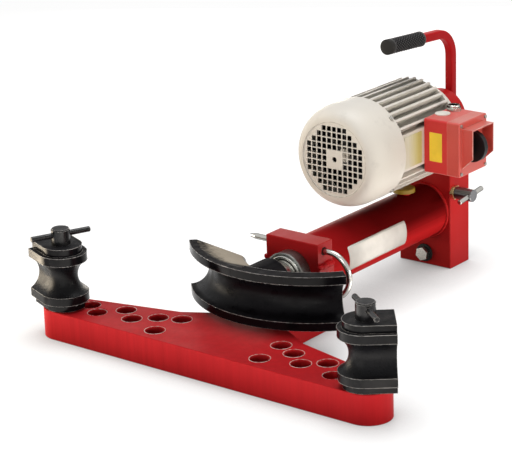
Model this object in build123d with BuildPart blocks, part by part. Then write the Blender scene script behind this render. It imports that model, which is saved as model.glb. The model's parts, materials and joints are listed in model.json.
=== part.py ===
"""Electro-hydraulic pipe bending machine.

A thick winged plate carries two pinned rollers. A ram pushes a grooved former between
them and bends the pipe. The cylinder lies in an oil jacket behind the plate, a rear block
holds the gear pump, and an electric motor with a switch box sits on the block.

Millimetres. +X is to the right and +Y to the rear, +Z is up. The origin is on the
underside of the plate, midway between its two rounded wing ends.
"""

from build123d import *
import math
import os

os.makedirs("parts", exist_ok=True)

# Pipe and fits
pipe_d = 60.3
former_play = 3.7
roller_play = 1.9
run_fit = 0.08
joint_fit = 0.05
seat_gap = 0.3
thread_end_gap = 1.0
root_lap = 2.0

# Winged plate and its pin holes
plate_t = 50.0
pin_half_span = 311.0
pin_y = -3.2
wing_end_r = 38.5
wing_kink_x = 128.0
wing_kink_y = 82.0
tongue_half_w = 50.0
tongue_root_y = 126.0
plate_edge_r = 1.5
hole_edge = 1.2
pin_d = 32.0
spare_holes = [(103, 55.6), (108.4, -6.7), (140.4, 39.4), (174.7, 12), (208.6, 36.7), (243.2, 2.8), (275, 23)]

# Height of the ram above the plate
axis_lift = 53.5

# Rollers and their pins
roller_h = 109.4
roller_r = 40.7
roller_disc_r = 33.1
roller_back = 48.1
roller_offset = 3.3
roller_flange_t = 14.2
roller_wrap_deg = 63.4
roller_turn_left_deg = 158.1
roller_turn_right_deg = 38.7
pin_head_h = 27.8
pin_chamfer = 2.0
pin_bar_d = 9.5
pin_bar_len = 106.0
pin_bar_drop = 11.0
pin_bar_turn_left_deg = 66.0
pin_bar_turn_right_deg = -36.0

# Former
apex_y = 78.5
former_r = 217.0
former_wall = 14.0
former_half_deg = 48.7
former_top_w = 12.5
former_land_w = 24.0
former_land_deg = 1.0
former_depth = 95.0
former_tail_half = 14.0
former_tail_round = 9.0
boss_r = 39.0
boss_reach = 90.5
socket_depth = 32.0

# Ram, piston and return spring
ram_r = 28.0
ram_nose_r = 24.0
ram_show = 30.0
ram_bore_r = 19.0
ram_cap_t = 20.0
piston_len = 35.0
piston_gap = 20.0
seal_w = 6.0
seal_depth = 3.5
spring_r = 14.0
spring_wire_r = 2.0
spring_turns = 24
spring_peg_len = 14.0
spring_end_gap = 1.0

# Cylinder barrel and gland
barrel_r = 38.5
barrel_bore_r = 32.0
barrel_lip = 2.0
barrel_seat = 10.0
neck_show = 23.1
gland_nose_r = 33.0
gland_nose_len = 1.2
gland_edge = 0.6
gland_thread_r = 34.0
gland_thread_len = 30.0
wiper_t = 1.5
wiper_w = 5.0

# Head block and its locking pin
head_half_w = 53.8
head_t = 39.0
head_rise = 56.2
head_edge = 1.2
saddle_lip = 3.0
saddle_lift = 18.0
lock_d = 10.0
lock_lift = 41.0
lock_inset = 17.2
lock_reach_left = 101.0
lock_reach_right = 64.9
lock_hook_r = 39.5
lock_hook_deg = 142.0
lock_tip = 12.0
lock_tip_r = 2.5
lock_mouth = 3.0

# Oil jacket and filler
tube_r = 48.4
tube_wall = 4.0
tube_len = 355.1
jacket_ring_t = 12.0
filler_from_block = 65.4
filler_r = 12.0
filler_bore_r = 8.0
filler_rise = 3.0
cap_r = 20.0
cap_t = 8.0

# Rear block with the pump
block_half_w = 54.7
block_t = 62.2
block_shoulder_z = 190.0
block_top_r = 49.0
block_edge = 1.2
motor_z = 266.4
cover_r = 36.0
cover_t = 16.4
cover_drop = 72.0
cover_screw_r = 3.0
cover_screw_in = 14.0
cover_screw_head_r = 5.4
cover_screw_head_t = 5.4
cover_screw_key_r = 3.0
gear_teeth = 14
gear_module = 2.5
gear_pressure_deg = 25.0
gear_addendum = 0.9
gear_dedendum = 1.15
gear_backlash = 0.35
gear_w = 21.6
gear_shaft_r = 9.0
gear_journal_r = 8.0
journal_len = 9.0
channel_r = 4.0
channel_x = 14.0
seal_ring_r = 20.0
seal_ring_t = 7.0

# Plug low on the front of the rear block
plug_z = 21.4
plug_af = 22.0
plug_turn_deg = 20.0
plug_head_t = 9.0
plug_washer_r = 16.5
plug_washer_t = 3.0
plug_thread_r = 8.0
plug_thread_len = 18.0

# Pressure release valve on the right of the rear block
valve_inset = 10.8
valve_z = 143.0
valve_nut_af = 23.0
valve_nut_t = 7.0
valve_stem_r = 6.0
valve_stem_in = 34.0
valve_knob_r = 11.5
valve_knob_len = 36.0
valve_bar_d = 9.0
valve_bar_len = 74.0
valve_bar_in = 7.0
valve_bar_tilt_deg = 6.0

# Carrying handle
bar_w = 16.0
bar_edge_r = 3.5
bar_foot_drop = 40.0
bend_r = 46.0
grip_r = 13.5
grip_len = 104.0
grip_front = 201.0
grip_z = 427.7
grip_rise_deg = 3.7
grip_end_t = 4.0

# Motor
diagonals_deg = (45, 135, 225, 315)
quarter_deg = 90
shield_len = 27.4
shield_big_r = 86.0
shield_small_r = 72.0
housing_len = 161.0
housing_r = 74.0
housing_wall = 6.0
fin_r = 88.5
fin_t = 4.4
fin_count = 36
pad_x = 79.8
pad_half_h = 33.0
cowl_len = 83.7
cowl_r = 90.0
cowl_wall = 2.0
cowl_rim_w = 3.0
cowl_dome_len = 44.0
cowl_step_r = 64.0
cowl_step = 1.5
grille_pitch = 10.6
grille_hole = 8.6
grille_reach_r = 58.0
grille_blank_half = 16.0
grille_eye_r = 4.5
cowl_lap = 12.0
cowl_screw_r = 2.5
cowl_screw_in = 7.0
cowl_screw_head_r = 4.2
cowl_screw_head_t = 2.4
spigot_len = 10.0
spigot_wall = 8.0
shaft_r = 12.0
shaft_stub = 2.0
shaft_eye_gap = 2.0
bearing_r = 26.0
bearing_w = 15.0
bearing_inset = 2.0
hub_wall = 8.0
stator_len = 105.0
stator_bore_r = 40.0
air_gap = 0.5
winding_len = 14.0
winding_in_r = 45.0
winding_out_r = 60.0
fan_r = 78.0
fan_hub_r = 22.0
fan_w = 30.0
fan_plate_t = 3.0
fan_blades = 8
fan_tail = 12.0
flange_bolt_pcd = 84.0
flange_bolt_r = 4.0
flange_bolt_in = 13.7
flange_bolt_af = 12.0
flange_bolt_head_t = 5.2
plate_w = 52.0
plate_h = 56.0
plate_sheet = 1.0

# Switch box
box_from_cowl = 70.0
box_len = 86.6
box_h = 96.1
box_base_d = 46.4
box_lid_d = 25.0
box_wall = 3.0
box_edge_r = 4.0
hood_len = 66.0
hood_out = 21.6
hood_wall = 2.0
hood_below_top = 10.8
hood_h = 71.0
hood_slant = 20.0
knob_from_front = 41.0
knob_disc_r = 20.0
knob_disc_t = 5.0
knob_fin_r = 28.0
knob_fin_t = 10.0
knob_stem_r = 4.0
switch_size = 44.0
switch_depth = 34.0
gland_x_in = 15.0
gland_from_rear = 17.0
gland_af = 24.0
gland_nut_t = 6.0
gland_cap_r = 10.5
gland_cap_t = 4.5
gland_thread = 9.0
gland_hole_r = 7.0
plug_x_in = 12.0
plug_gap = 3.2
blank_r = 13.5
blank_t = 2.0
blank_stem_r = 9.0
lid_screw_r = 2.0
lid_screw_head_r = 3.0
lid_screw_head_t = 2.0
lid_screw_inset = 5.6

# Stations along the machine, from the front to the rear
ram_z = plate_t + axis_lift
groove_r = (pipe_d + former_play) / 2
former_half_h = groove_r + former_wall
former_y = apex_y + former_r
boss_y = apex_y + boss_reach
gland_y = boss_y + ram_show
barrel_y = gland_y + gland_nose_len
head_y = barrel_y + neck_show
head_rear_y = head_y + head_t
block_y = head_rear_y + tube_len
block_rear_y = block_y + block_t
cover_rear_y = block_rear_y + cover_t
shield_y = block_y - shield_len
housing_y = shield_y - housing_len
cowl_y = housing_y - cowl_len
lock_y = head_y + lock_inset
lock_z = ram_z + lock_lift
saddle_z = ram_z + saddle_lift
pin_r = pin_d / 2
pin_hole_r = pin_r + run_fit
roller_z = plate_t + seat_gap + roller_h / 2
pin_top_z = plate_t + roller_h + pin_head_h
roller_groove_r = (pipe_d + roller_play) / 2


def across(y):
    """Plane square to the ram at station y: its x is +X and its y is +Z, and it faces the front."""
    return Plane(origin=(0, y, 0), x_dir=(1, 0, 0), z_dir=(0, -1, 0))


def beside(x):
    """Plane square to X at x: its x is +Y and its y is +Z, and it faces +X."""
    return Plane.YZ.offset(x)


def turned(axis_z, outline):
    """Solid of revolution about the line x = 0, z = axis_z. The outline is (y, radius) points."""
    with BuildPart() as body:
        with BuildSketch(Plane.YZ):
            with BuildLine():
                Polyline([(y, axis_z + r) for y, r in outline], close=True)
            make_face()
        revolve(axis=Axis((0, 0, axis_z), (0, 1, 0)))
    return body


def ring(axis_z, y, length, outer_r, inner_r):
    """Plain ring about the line x = 0, z = axis_z, from station y towards the rear."""
    return turned(axis_z, [(y, inner_r), (y, outer_r), (y + length, outer_r), (y + length, inner_r)])


def spokes(y):
    """Planes through the motor axis at station y that face outwards on the diagonals."""
    turns = [math.radians(a) for a in diagonals_deg]
    return [Plane(origin=(0, y, motor_z), z_dir=(math.cos(a), 0, math.sin(a))) for a in turns]


def tangent_point(point, centre, radius, side):
    """Where the line from a point touches a circle, on the left (+1) or right (-1) of the way in."""
    dx = centre[0] - point[0]
    dy = centre[1] - point[1]
    reach = math.hypot(dx, dy)
    turn = math.atan2(dy, dx) + side * math.asin(radius / reach)
    length = math.sqrt(reach**2 - radius**2)
    return (point[0] + length * math.cos(turn), point[1] + length * math.sin(turn))


pieces = {}

# Winged plate: half outline to the right of the centre line, then mirrored
wing_touch = tangent_point((wing_kink_x, wing_kink_y), (pin_half_span, 0), wing_end_r, 1)
wing_touch_deg = math.degrees(math.atan2(wing_touch[1], wing_touch[0] - pin_half_span))
pin_holes = [(pin_half_span, pin_y)] + spare_holes
with BuildPart() as wing_plate:
    with BuildSketch():
        with BuildLine():
            Line((0, -wing_end_r), (pin_half_span, -wing_end_r))
            CenterArc((pin_half_span, 0), wing_end_r, -90, 90 + wing_touch_deg)
            Polyline(
                wing_touch,
                (wing_kink_x, wing_kink_y),
                (tongue_half_w, tongue_root_y),
                (tongue_half_w, head_rear_y),
                (0, head_rear_y),
            )
            mirror(about=Plane.YZ)
        make_face()
        with Locations(pin_holes):
            Circle(pin_hole_r, mode=Mode.SUBTRACT)
        with Locations([(-x, y) for x, y in pin_holes]):
            Circle(pin_hole_r, mode=Mode.SUBTRACT)
    extrude(amount=plate_t)
    top_rim = wing_plate.faces().sort_by(Axis.Z)[-1].outer_wire().edges()
    fillet(top_rim, plate_edge_r)
    hole_rims = wing_plate.faces().sort_by(Axis.Z)[-1].inner_wires()
    chamfer(hole_rims.edges(), hole_edge)
pieces["wing_plate"] = wing_plate

# Head block: bored for the cylinder neck, cross drilled for the locking pin
with BuildPart() as head_block:
    with BuildSketch(across(head_y)):
        with BuildLine():
            Polyline(
                (0, plate_t),
                (head_half_w + saddle_lip, plate_t),
                (head_half_w + saddle_lip, saddle_z - saddle_lip),
                (head_half_w, saddle_z),
                (head_half_w, ram_z + head_rise),
                (0, ram_z + head_rise),
            )
            mirror(about=Plane.YZ)
        make_face()
    extrude(amount=-head_t)
    chamfer(head_block.faces().sort_by(Axis.Z)[-1].edges(), head_edge)
    with BuildSketch(across(head_y)):
        with Locations((0, ram_z)):
            Circle(barrel_r + joint_fit)
    extrude(amount=-head_t, mode=Mode.SUBTRACT)
    with BuildSketch(beside(-head_half_w)):
        with Locations((lock_y, lock_z)):
            Circle(lock_d / 2 + run_fit)
    extrude(amount=2 * head_half_w, mode=Mode.SUBTRACT)
    with BuildSketch(beside(head_half_w)):
        with Locations((lock_y, lock_z)):
            Circle(lock_d / 2 + lock_mouth)
    extrude(amount=-lock_mouth, taper=45, mode=Mode.SUBTRACT)
pieces["head_block"] = head_block

# Locking pin: straight shank with a tapered tip, then a round hook in the same upright plane
with BuildPart() as retaining_pin:
    with BuildLine(Plane(origin=(0, lock_y, 0), x_dir=(1, 0, 0), z_dir=(0, -1, 0))) as lock_path:
        Line((lock_tip - lock_reach_left, lock_z), (lock_reach_right, lock_z))
        CenterArc((lock_reach_right, lock_z - lock_hook_r), lock_hook_r, 90, -lock_hook_deg)
    with BuildSketch(beside(lock_tip - lock_reach_left)):
        with Locations((lock_y, lock_z)):
            Circle(lock_d / 2)
    sweep(path=lock_path.wires()[0])
    with BuildSketch(beside(lock_tip - lock_reach_left)):
        with Locations((lock_y, lock_z)):
            Circle(lock_d / 2)
    with BuildSketch(beside(-lock_reach_left)):
        with Locations((lock_y, lock_z)):
            Circle(lock_tip_r)
    loft()
pieces["retaining_pin"] = retaining_pin


def roller(x, turn_deg):
    """D-shaped roller on the pin at x: a round half and a straight half up to its flat back."""
    turn = math.radians(turn_deg)
    back = (math.cos(turn), math.sin(turn), 0)
    along = (-math.sin(turn), math.cos(turn), 0)
    round_x = x - roller_offset * math.cos(turn)
    round_y = pin_y - roller_offset * math.sin(turn)
    groove_half = roller_groove_r * math.sin(math.radians(roller_wrap_deg))
    waist_r = roller_r - roller_groove_r * (1 - math.cos(math.radians(roller_wrap_deg)))
    half_h = roller_h / 2
    flange_z = groove_half + roller_flange_t
    middle = Plane(origin=(round_x, round_y, roller_z), x_dir=along, z_dir=back)
    with BuildPart() as body:
        with BuildSketch(middle) as half_profile:
            with BuildLine():
                Polyline(
                    (roller_r, -groove_half),
                    (roller_r, -flange_z),
                    (roller_disc_r, -flange_z),
                    (roller_disc_r, -half_h),
                    (0, -half_h),
                    (0, half_h),
                    (roller_disc_r, half_h),
                    (roller_disc_r, flange_z),
                    (roller_r, flange_z),
                    (roller_r, groove_half),
                )
                ThreePointArc((roller_r, groove_half), (waist_r, 0), (roller_r, -groove_half))
            make_face()
        revolve(axis=Axis((round_x, round_y, 0), (0, 0, 1)), revolution_arc=180)
        with BuildSketch(middle):
            add(half_profile.sketch_local)
            mirror(half_profile.sketch_local, about=Plane.YZ)
        extrude(amount=roller_back)
        with BuildSketch(Plane(origin=(x, pin_y, roller_z - half_h))):
            Circle(pin_hole_r)
        extrude(amount=2 * half_h, mode=Mode.SUBTRACT)
    return body


def roller_pin(x, bar_turn_deg):
    """Pin through roller and plate, cross drilled near its top, and the bar in that hole."""
    bar_z = pin_top_z - pin_bar_drop
    bar_plane = Plane(
        origin=(x, pin_y, bar_z),
        z_dir=(math.cos(math.radians(bar_turn_deg)), math.sin(math.radians(bar_turn_deg)), 0),
    )
    with BuildPart() as pin:
        with BuildSketch(Plane(origin=(x, pin_y, 0))):
            Circle(pin_r)
        extrude(amount=pin_top_z)
        chamfer(pin.faces().sort_by(Axis.Z)[-1].edges(), pin_chamfer)
        with BuildSketch(bar_plane):
            Circle(pin_bar_d / 2 + joint_fit)
        extrude(amount=pin_d, both=True, mode=Mode.SUBTRACT)
    with BuildPart() as bar:
        with BuildSketch(bar_plane):
            Circle(pin_bar_d / 2)
        extrude(amount=pin_bar_len / 2, both=True)
        chamfer(bar.edges().filter_by(GeomType.CIRCLE), pin_bar_d / 10)
    return pin, bar


roller_sides = {
    "left": (-pin_half_span, roller_turn_left_deg, pin_bar_turn_left_deg),
    "right": (pin_half_span, roller_turn_right_deg, pin_bar_turn_right_deg),
}
for side_name, (side_x, roller_turn_deg, bar_turn_deg) in roller_sides.items():
    pieces[f"roller_{side_name}"] = roller(side_x, roller_turn_deg)
    pin_pair = roller_pin(side_x, bar_turn_deg)
    pieces[f"roller_pin_{side_name}"] = pin_pair[0]
    pieces[f"pin_bar_{side_name}"] = pin_pair[1]

# Former: wedge turned about a vertical axis, grooved for the pipe, with a socket boss for the ram nose
def former_plane(turn_deg):
    """Upright plane through the former's axis: its x points outwards, turned to the left of the front."""
    turn = math.radians(turn_deg)
    return Plane(
        origin=(0, former_y, ram_z),
        x_dir=(-math.sin(turn), -math.cos(turn), 0),
        z_dir=(-math.cos(turn), math.sin(turn), 0),
    )


former_end = former_plane(former_half_deg)
former_axis = Axis((0, former_y, 0), (0, 0, 1))
former_tail_r = former_r - former_depth + former_tail_round
with BuildPart() as former:
    with BuildSketch(former_end):
        with BuildLine():
            Polyline(
                (former_tail_r, -former_tail_half),
                (former_r - former_top_w, -former_half_h),
                (former_r, -former_half_h),
                (former_r, former_half_h),
                (former_r - former_top_w, former_half_h),
                (former_tail_r, former_tail_half),
            )
            ThreePointArc(
                (former_tail_r, former_tail_half),
                (former_r - former_depth, 0),
                (former_tail_r, -former_tail_half),
            )
        make_face()
    revolve(axis=former_axis, revolution_arc=2 * former_half_deg)
    with BuildSketch(former_plane(former_land_deg)):
        with Locations((former_r - former_land_w, 0)):
            Rectangle(former_land_w, former_half_h, align=(Align.MIN, Align.MIN))
    revolve(axis=former_axis, revolution_arc=former_half_deg + former_land_deg)
    with BuildSketch(across(boss_y)):
        with Locations((0, ram_z)):
            Circle(boss_r)
    extrude(amount=boss_reach - groove_r)
    with BuildSketch(former_end):
        with BuildLine():
            Line((former_r, -groove_r), (former_r, groove_r))
            ThreePointArc((former_r, groove_r), (former_r - groove_r, 0), (former_r, -groove_r))
        make_face()
    revolve(axis=former_axis, revolution_arc=2 * former_half_deg, mode=Mode.SUBTRACT)
    with BuildSketch(across(boss_y)):
        with Locations((0, ram_z)):
            Circle(boss_r)
    extrude(amount=-former_depth, mode=Mode.SUBTRACT)
    with BuildSketch(across(boss_y)):
        with Locations((0, ram_z)):
            Circle(ram_nose_r + run_fit)
    extrude(amount=socket_depth + seat_gap, mode=Mode.SUBTRACT)
pieces["former"] = former

# Ram: stepped nose for the former, hollow behind for the return spring
ram_shoulder_y = boss_y + seat_gap
ram_rear_y = block_y - piston_gap - piston_len
ram_nose_y = boss_y - socket_depth
spring_front_y = gland_y + ram_cap_t
peg_r = spring_r - spring_wire_r - seat_gap
pieces["ram"] = turned(
    ram_z,
    [
        (ram_nose_y, 0),
        (ram_nose_y, ram_nose_r),
        (ram_shoulder_y, ram_nose_r),
        (ram_shoulder_y, ram_r),
        (ram_rear_y, ram_r),
        (ram_rear_y, ram_bore_r),
        (spring_front_y, ram_bore_r),
        (spring_front_y, peg_r),
        (spring_front_y + spring_peg_len, peg_r),
        (spring_front_y + spring_peg_len, 0),
    ],
)

# Piston on the ram's rear end, with its seal in a groove
piston_r = barrel_bore_r - run_fit
seal_y = ram_rear_y + (piston_len - seal_w) / 2
piston_groove_r = piston_r - seal_depth
pieces["piston"] = turned(
    ram_z,
    [
        (ram_rear_y, ram_bore_r),
        (ram_rear_y, piston_r),
        (seal_y, piston_r),
        (seal_y, piston_groove_r),
        (seal_y + seal_w, piston_groove_r),
        (seal_y + seal_w, piston_r),
        (ram_rear_y + piston_len, piston_r),
        (ram_rear_y + piston_len, ram_bore_r),
    ],
)
pieces["piston_seal"] = ring(
    ram_z, seal_y + joint_fit, seal_w - 2 * joint_fit, piston_r, piston_groove_r + joint_fit
)

# Return spring between the ram's peg and the anchor on the rear block
barrel_end_y = block_y + barrel_seat
spring_start_y = spring_front_y + spring_wire_r + spring_end_gap
spring_stop_y = barrel_end_y - spring_wire_r - spring_end_gap
spring_pitch = (spring_stop_y - spring_start_y) / spring_turns
with BuildPart() as return_spring:
    with BuildLine() as coil:
        Helix(
            pitch=spring_pitch,
            height=spring_stop_y - spring_start_y,
            radius=spring_r,
            center=(0, spring_start_y, ram_z),
            direction=(0, 1, 0),
        )
    with BuildSketch(Plane(origin=coil.edges()[0] @ 0, z_dir=coil.edges()[0] % 0)):
        Circle(spring_wire_r)
    sweep(path=coil.edges()[0], is_frenet=True)
pieces["return_spring"] = return_spring
pieces["spring_anchor"] = turned(
    ram_z,
    [
        (barrel_end_y - spring_peg_len, 0),
        (barrel_end_y - spring_peg_len, peg_r),
        (barrel_end_y, peg_r),
        (barrel_end_y, 0),
    ],
)

# Cylinder barrel: its neck shows in front of the head block and has the locking groove
lock_groove_r = lock_lift - lock_d / 2 - seat_gap
lock_groove_half = lock_d / 2 + seat_gap
gland_end_y = barrel_y + gland_thread_len
pieces["cylinder_barrel"] = turned(
    ram_z,
    [
        (barrel_y, gland_thread_r),
        (barrel_y, barrel_r - barrel_lip),
        (barrel_y + barrel_lip, barrel_r),
        (lock_y - lock_groove_half, barrel_r),
        (lock_y - lock_groove_half, lock_groove_r),
        (lock_y + lock_groove_half, lock_groove_r),
        (lock_y + lock_groove_half, barrel_r),
        (barrel_end_y, barrel_r),
        (barrel_end_y, barrel_bore_r),
        (gland_end_y, barrel_bore_r),
        (gland_end_y, gland_thread_r),
    ],
)

# Gland nut in the front of the barrel, with a wiper ring round the ram
gland_bore_r = ram_r + run_fit
wiper_r = gland_bore_r + wiper_t
pieces["gland_nut"] = turned(
    ram_z,
    [
        (gland_y, wiper_r),
        (gland_y, gland_nose_r - gland_edge),
        (gland_y + gland_edge, gland_nose_r),
        (barrel_y, gland_nose_r),
        (barrel_y, gland_thread_r - joint_fit),
        (gland_end_y - joint_fit, gland_thread_r - joint_fit),
        (gland_end_y - joint_fit, gland_bore_r),
        (gland_y + wiper_w, gland_bore_r),
        (gland_y + wiper_w, wiper_r),
    ],
)
pieces["wiper_ring"] = ring(ram_z, gland_y, wiper_w, wiper_r - joint_fit, gland_bore_r)

# Oil jacket tube, the ring that closes it at the front, and the filler on its top
filler_y = block_y - filler_from_block
filler_plane = Plane(origin=(0, filler_y, ram_z))
filler_top_z = ram_z + tube_r + filler_rise
tube_bore_r = tube_r - tube_wall
with BuildPart() as reservoir_tube:
    with BuildSketch(across(head_rear_y)):
        with Locations((0, ram_z)):
            Circle(tube_r)
            Circle(tube_bore_r, mode=Mode.SUBTRACT)
    extrude(amount=-tube_len)
    with BuildSketch(filler_plane):
        Circle(filler_r + joint_fit)
    extrude(amount=2 * tube_r, mode=Mode.SUBTRACT)
pieces["reservoir_tube"] = reservoir_tube
pieces["jacket_ring"] = ring(
    ram_z, head_rear_y, jacket_ring_t, tube_bore_r - joint_fit, barrel_r + joint_fit
)
with BuildPart() as filler_neck:
    with BuildSketch(Plane(origin=(0, filler_y, ram_z + tube_bore_r))):
        Circle(filler_r)
        Circle(filler_bore_r, mode=Mode.SUBTRACT)
    extrude(amount=tube_wall + filler_rise)
pieces["filler_neck"] = filler_neck
with BuildPart() as filler_cap:
    with BuildSketch(Plane(origin=(0, filler_y, filler_top_z + seat_gap))):
        Circle(cap_r)
    extrude(amount=cap_t)
    fillet(filler_cap.faces().sort_by(Axis.Z)[-1].edges(), cap_t / 3)
    with BuildSketch(Plane(origin=(0, filler_y, filler_top_z + seat_gap))):
        Circle(filler_bore_r - run_fit)
    extrude(amount=-filler_rise - tube_wall / 2)
pieces["filler_cap"] = filler_cap

# Rear block: straight foot, round head about the motor axis, bored for barrel, pump and valve
head_touch = tangent_point((block_half_w, block_shoulder_z), (0, motor_z), block_top_r, -1)
gear_pitch_r = gear_teeth * gear_module / 2
gear_tip_r = gear_pitch_r + gear_addendum * gear_module
gear_root_r = gear_pitch_r - gear_dedendum * gear_module
driven_z = motor_z - 2 * gear_pitch_r
pocket_r = gear_tip_r + run_fit
pocket_depth = gear_w + seat_gap
pocket_y = block_rear_y - pocket_depth
valve_y = block_y + valve_inset
channel_y = valve_y + channel_r
channel_low_z = ram_z + barrel_bore_r / 4
channel_high_z = driven_z
bolt_r = flange_bolt_pcd / 2
bolt_spots = [
    (bolt_r * math.cos(math.radians(a)), motor_z + bolt_r * math.sin(math.radians(a))) for a in diagonals_deg
]
cover_screw_spots = [
    (sx * (cover_r - 2.5 * cover_screw_r), motor_z - cover_drop * step)
    for sx in (-1, 1)
    for step in (0, 0.45, 0.9)
]
cover_screw_len = cover_t + cover_screw_in
with BuildPart() as pump_block:
    with BuildSketch(across(block_y)):
        with BuildLine():
            Polyline((0, 0), (block_half_w, 0), (block_half_w, block_shoulder_z), head_touch)
            ThreePointArc(head_touch, (0, motor_z + block_top_r), (-head_touch[0], head_touch[1]))
            Polyline(
                (-head_touch[0], head_touch[1]), (-block_half_w, block_shoulder_z), (-block_half_w, 0), (0, 0)
            )
        make_face()
    extrude(amount=-block_t)
    front_rear = pump_block.faces().filter_by(Axis.Y)
    chamfer(front_rear.edges(), block_edge)
    with BuildSketch(across(block_y)):
        with Locations((0, ram_z)):
            Circle(barrel_r + joint_fit)
    extrude(amount=-barrel_seat, mode=Mode.SUBTRACT)
    with BuildSketch(across(block_y)):
        with Locations((0, motor_z)):
            Circle(seal_ring_r + joint_fit)
    extrude(amount=-seal_ring_t, mode=Mode.SUBTRACT)
    with BuildSketch(across(block_y)):
        with Locations((0, motor_z)):
            Circle(shaft_r + run_fit)
    extrude(amount=-block_t, mode=Mode.SUBTRACT)
    with BuildSketch(across(pocket_y)):
        with Locations((0, motor_z), (0, driven_z)):
            Circle(pocket_r)
    extrude(amount=-pocket_depth, mode=Mode.SUBTRACT)
    with BuildSketch(across(pocket_y)):
        with Locations((0, driven_z)):
            Circle(gear_journal_r + run_fit)
    extrude(amount=journal_len + seat_gap, mode=Mode.SUBTRACT)
    with BuildSketch(Plane(origin=(channel_x, channel_y, channel_low_z))):
        Circle(channel_r)
    extrude(amount=channel_high_z - channel_low_z, mode=Mode.SUBTRACT)
    with BuildSketch(across(channel_y)):
        with Locations((channel_x, channel_high_z)):
            Circle(channel_r)
    extrude(amount=channel_y - pocket_y - channel_r, mode=Mode.SUBTRACT)
    with BuildSketch(across(channel_y)):
        with Locations((channel_x, channel_low_z)):
            Circle(channel_r)
    extrude(amount=channel_y - barrel_end_y + channel_r, mode=Mode.SUBTRACT)
    with BuildSketch(beside(block_half_w)):
        with Locations((valve_y, valve_z)):
            Circle(valve_stem_r + run_fit)
    extrude(amount=channel_x - block_half_w, mode=Mode.SUBTRACT)
    with BuildSketch(across(block_y)):
        with Locations((0, plug_z)):
            Circle(plug_thread_r + joint_fit)
    extrude(amount=-plug_thread_len, mode=Mode.SUBTRACT)
    with BuildSketch(across(block_y)):
        with Locations(bolt_spots):
            Circle(flange_bolt_r + joint_fit)
    extrude(amount=-flange_bolt_in, mode=Mode.SUBTRACT)
    with BuildSketch(across(block_rear_y)):
        with Locations(cover_screw_spots):
            Circle(cover_screw_r + joint_fit)
    extrude(amount=cover_screw_len - cover_t, mode=Mode.SUBTRACT)
pieces["pump_block"] = pump_block

# Pump cover on the rear of the block, with its socket screws
with BuildPart() as pump_cover:
    with BuildSketch(across(block_rear_y)):
        with Locations((0, motor_z)):
            Circle(cover_r)
        with Locations((0, motor_z - cover_drop / 2)):
            Rectangle(2 * cover_r, cover_drop)
    extrude(amount=-cover_t)
    chamfer(pump_cover.faces().sort_by(Axis.Y)[-1].edges(), block_edge)
    with BuildSketch(across(block_rear_y)):
        with Locations((0, motor_z)):
            Circle(gear_shaft_r + run_fit)
        with Locations((0, driven_z)):
            Circle(gear_journal_r + run_fit)
    extrude(amount=-journal_len - seat_gap, mode=Mode.SUBTRACT)
    with BuildSketch(across(block_rear_y)):
        with Locations(cover_screw_spots):
            Circle(cover_screw_r + joint_fit)
    extrude(amount=-cover_t, mode=Mode.SUBTRACT)
pieces["pump_cover"] = pump_cover
with BuildPart() as cover_screws:
    with BuildSketch(across(cover_rear_y)):
        with Locations(cover_screw_spots):
            Circle(cover_screw_r)
    extrude(amount=cover_screw_len - thread_end_gap)
    with BuildSketch(across(cover_rear_y)):
        with Locations(cover_screw_spots):
            Circle(cover_screw_head_r)
            RegularPolygon(cover_screw_key_r, 6, mode=Mode.SUBTRACT)
    extrude(amount=-cover_screw_head_t)
pieces["cover_screws"] = cover_screws


def gear_points(phase):
    """Outline of an involute gear about the origin, with one tooth centred on the phase angle."""
    pressure = math.radians(gear_pressure_deg)
    base_r = gear_pitch_r * math.cos(pressure)
    half_tooth = math.pi / (2 * gear_teeth) - gear_backlash / (2 * gear_pitch_r)
    half_base = half_tooth + math.tan(pressure) - pressure
    steps = 5
    points = []
    for tooth in range(gear_teeth):
        middle = phase + 2 * math.pi * tooth / gear_teeth
        flank = [(gear_root_r, half_base)]
        for step in range(steps + 1):
            r = base_r + (gear_tip_r - base_r) * step / steps
            roll = math.acos(base_r / r)
            flank.append((r, half_base - (math.tan(roll) - roll)))
        points += [(r * math.cos(middle - a), r * math.sin(middle - a)) for r, a in flank]
        points += [(r * math.cos(middle + a), r * math.sin(middle + a)) for r, a in reversed(flank)]
    return points


# Gear pump: the driving gear on the motor shaft and the driven gear below it, in mesh
gear_y = pocket_y + seat_gap / 2
mesh_down = -math.pi / 2
mesh_up = math.pi / 2 + math.pi / gear_teeth
with BuildPart() as drive_gear:
    with BuildSketch(across(gear_y)):
        with Locations((0, motor_z)):
            with BuildLine(mode=Mode.PRIVATE) as drive_line:
                Polyline(gear_points(mesh_down), close=True)
            add(make_face(drive_line.edges(), mode=Mode.PRIVATE))
            Circle(gear_shaft_r + joint_fit, mode=Mode.SUBTRACT)
    extrude(amount=-gear_w)
pieces["drive_gear"] = drive_gear
with BuildPart() as driven_gear:
    with BuildSketch(across(gear_y)):
        with Locations((0, driven_z)):
            with BuildLine(mode=Mode.PRIVATE) as driven_line:
                Polyline(gear_points(mesh_up), close=True)
            add(make_face(driven_line.edges(), mode=Mode.PRIVATE))
    extrude(amount=-gear_w)
    with BuildSketch(across(gear_y - journal_len)):
        with Locations((0, driven_z)):
            Circle(gear_journal_r)
    extrude(amount=-gear_w - 2 * journal_len)
pieces["driven_gear"] = driven_gear

# Shaft seal in the front of the rear block
pieces["shaft_seal"] = ring(motor_z, block_y, seal_ring_t, seal_ring_r, shaft_r + run_fit)

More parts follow.
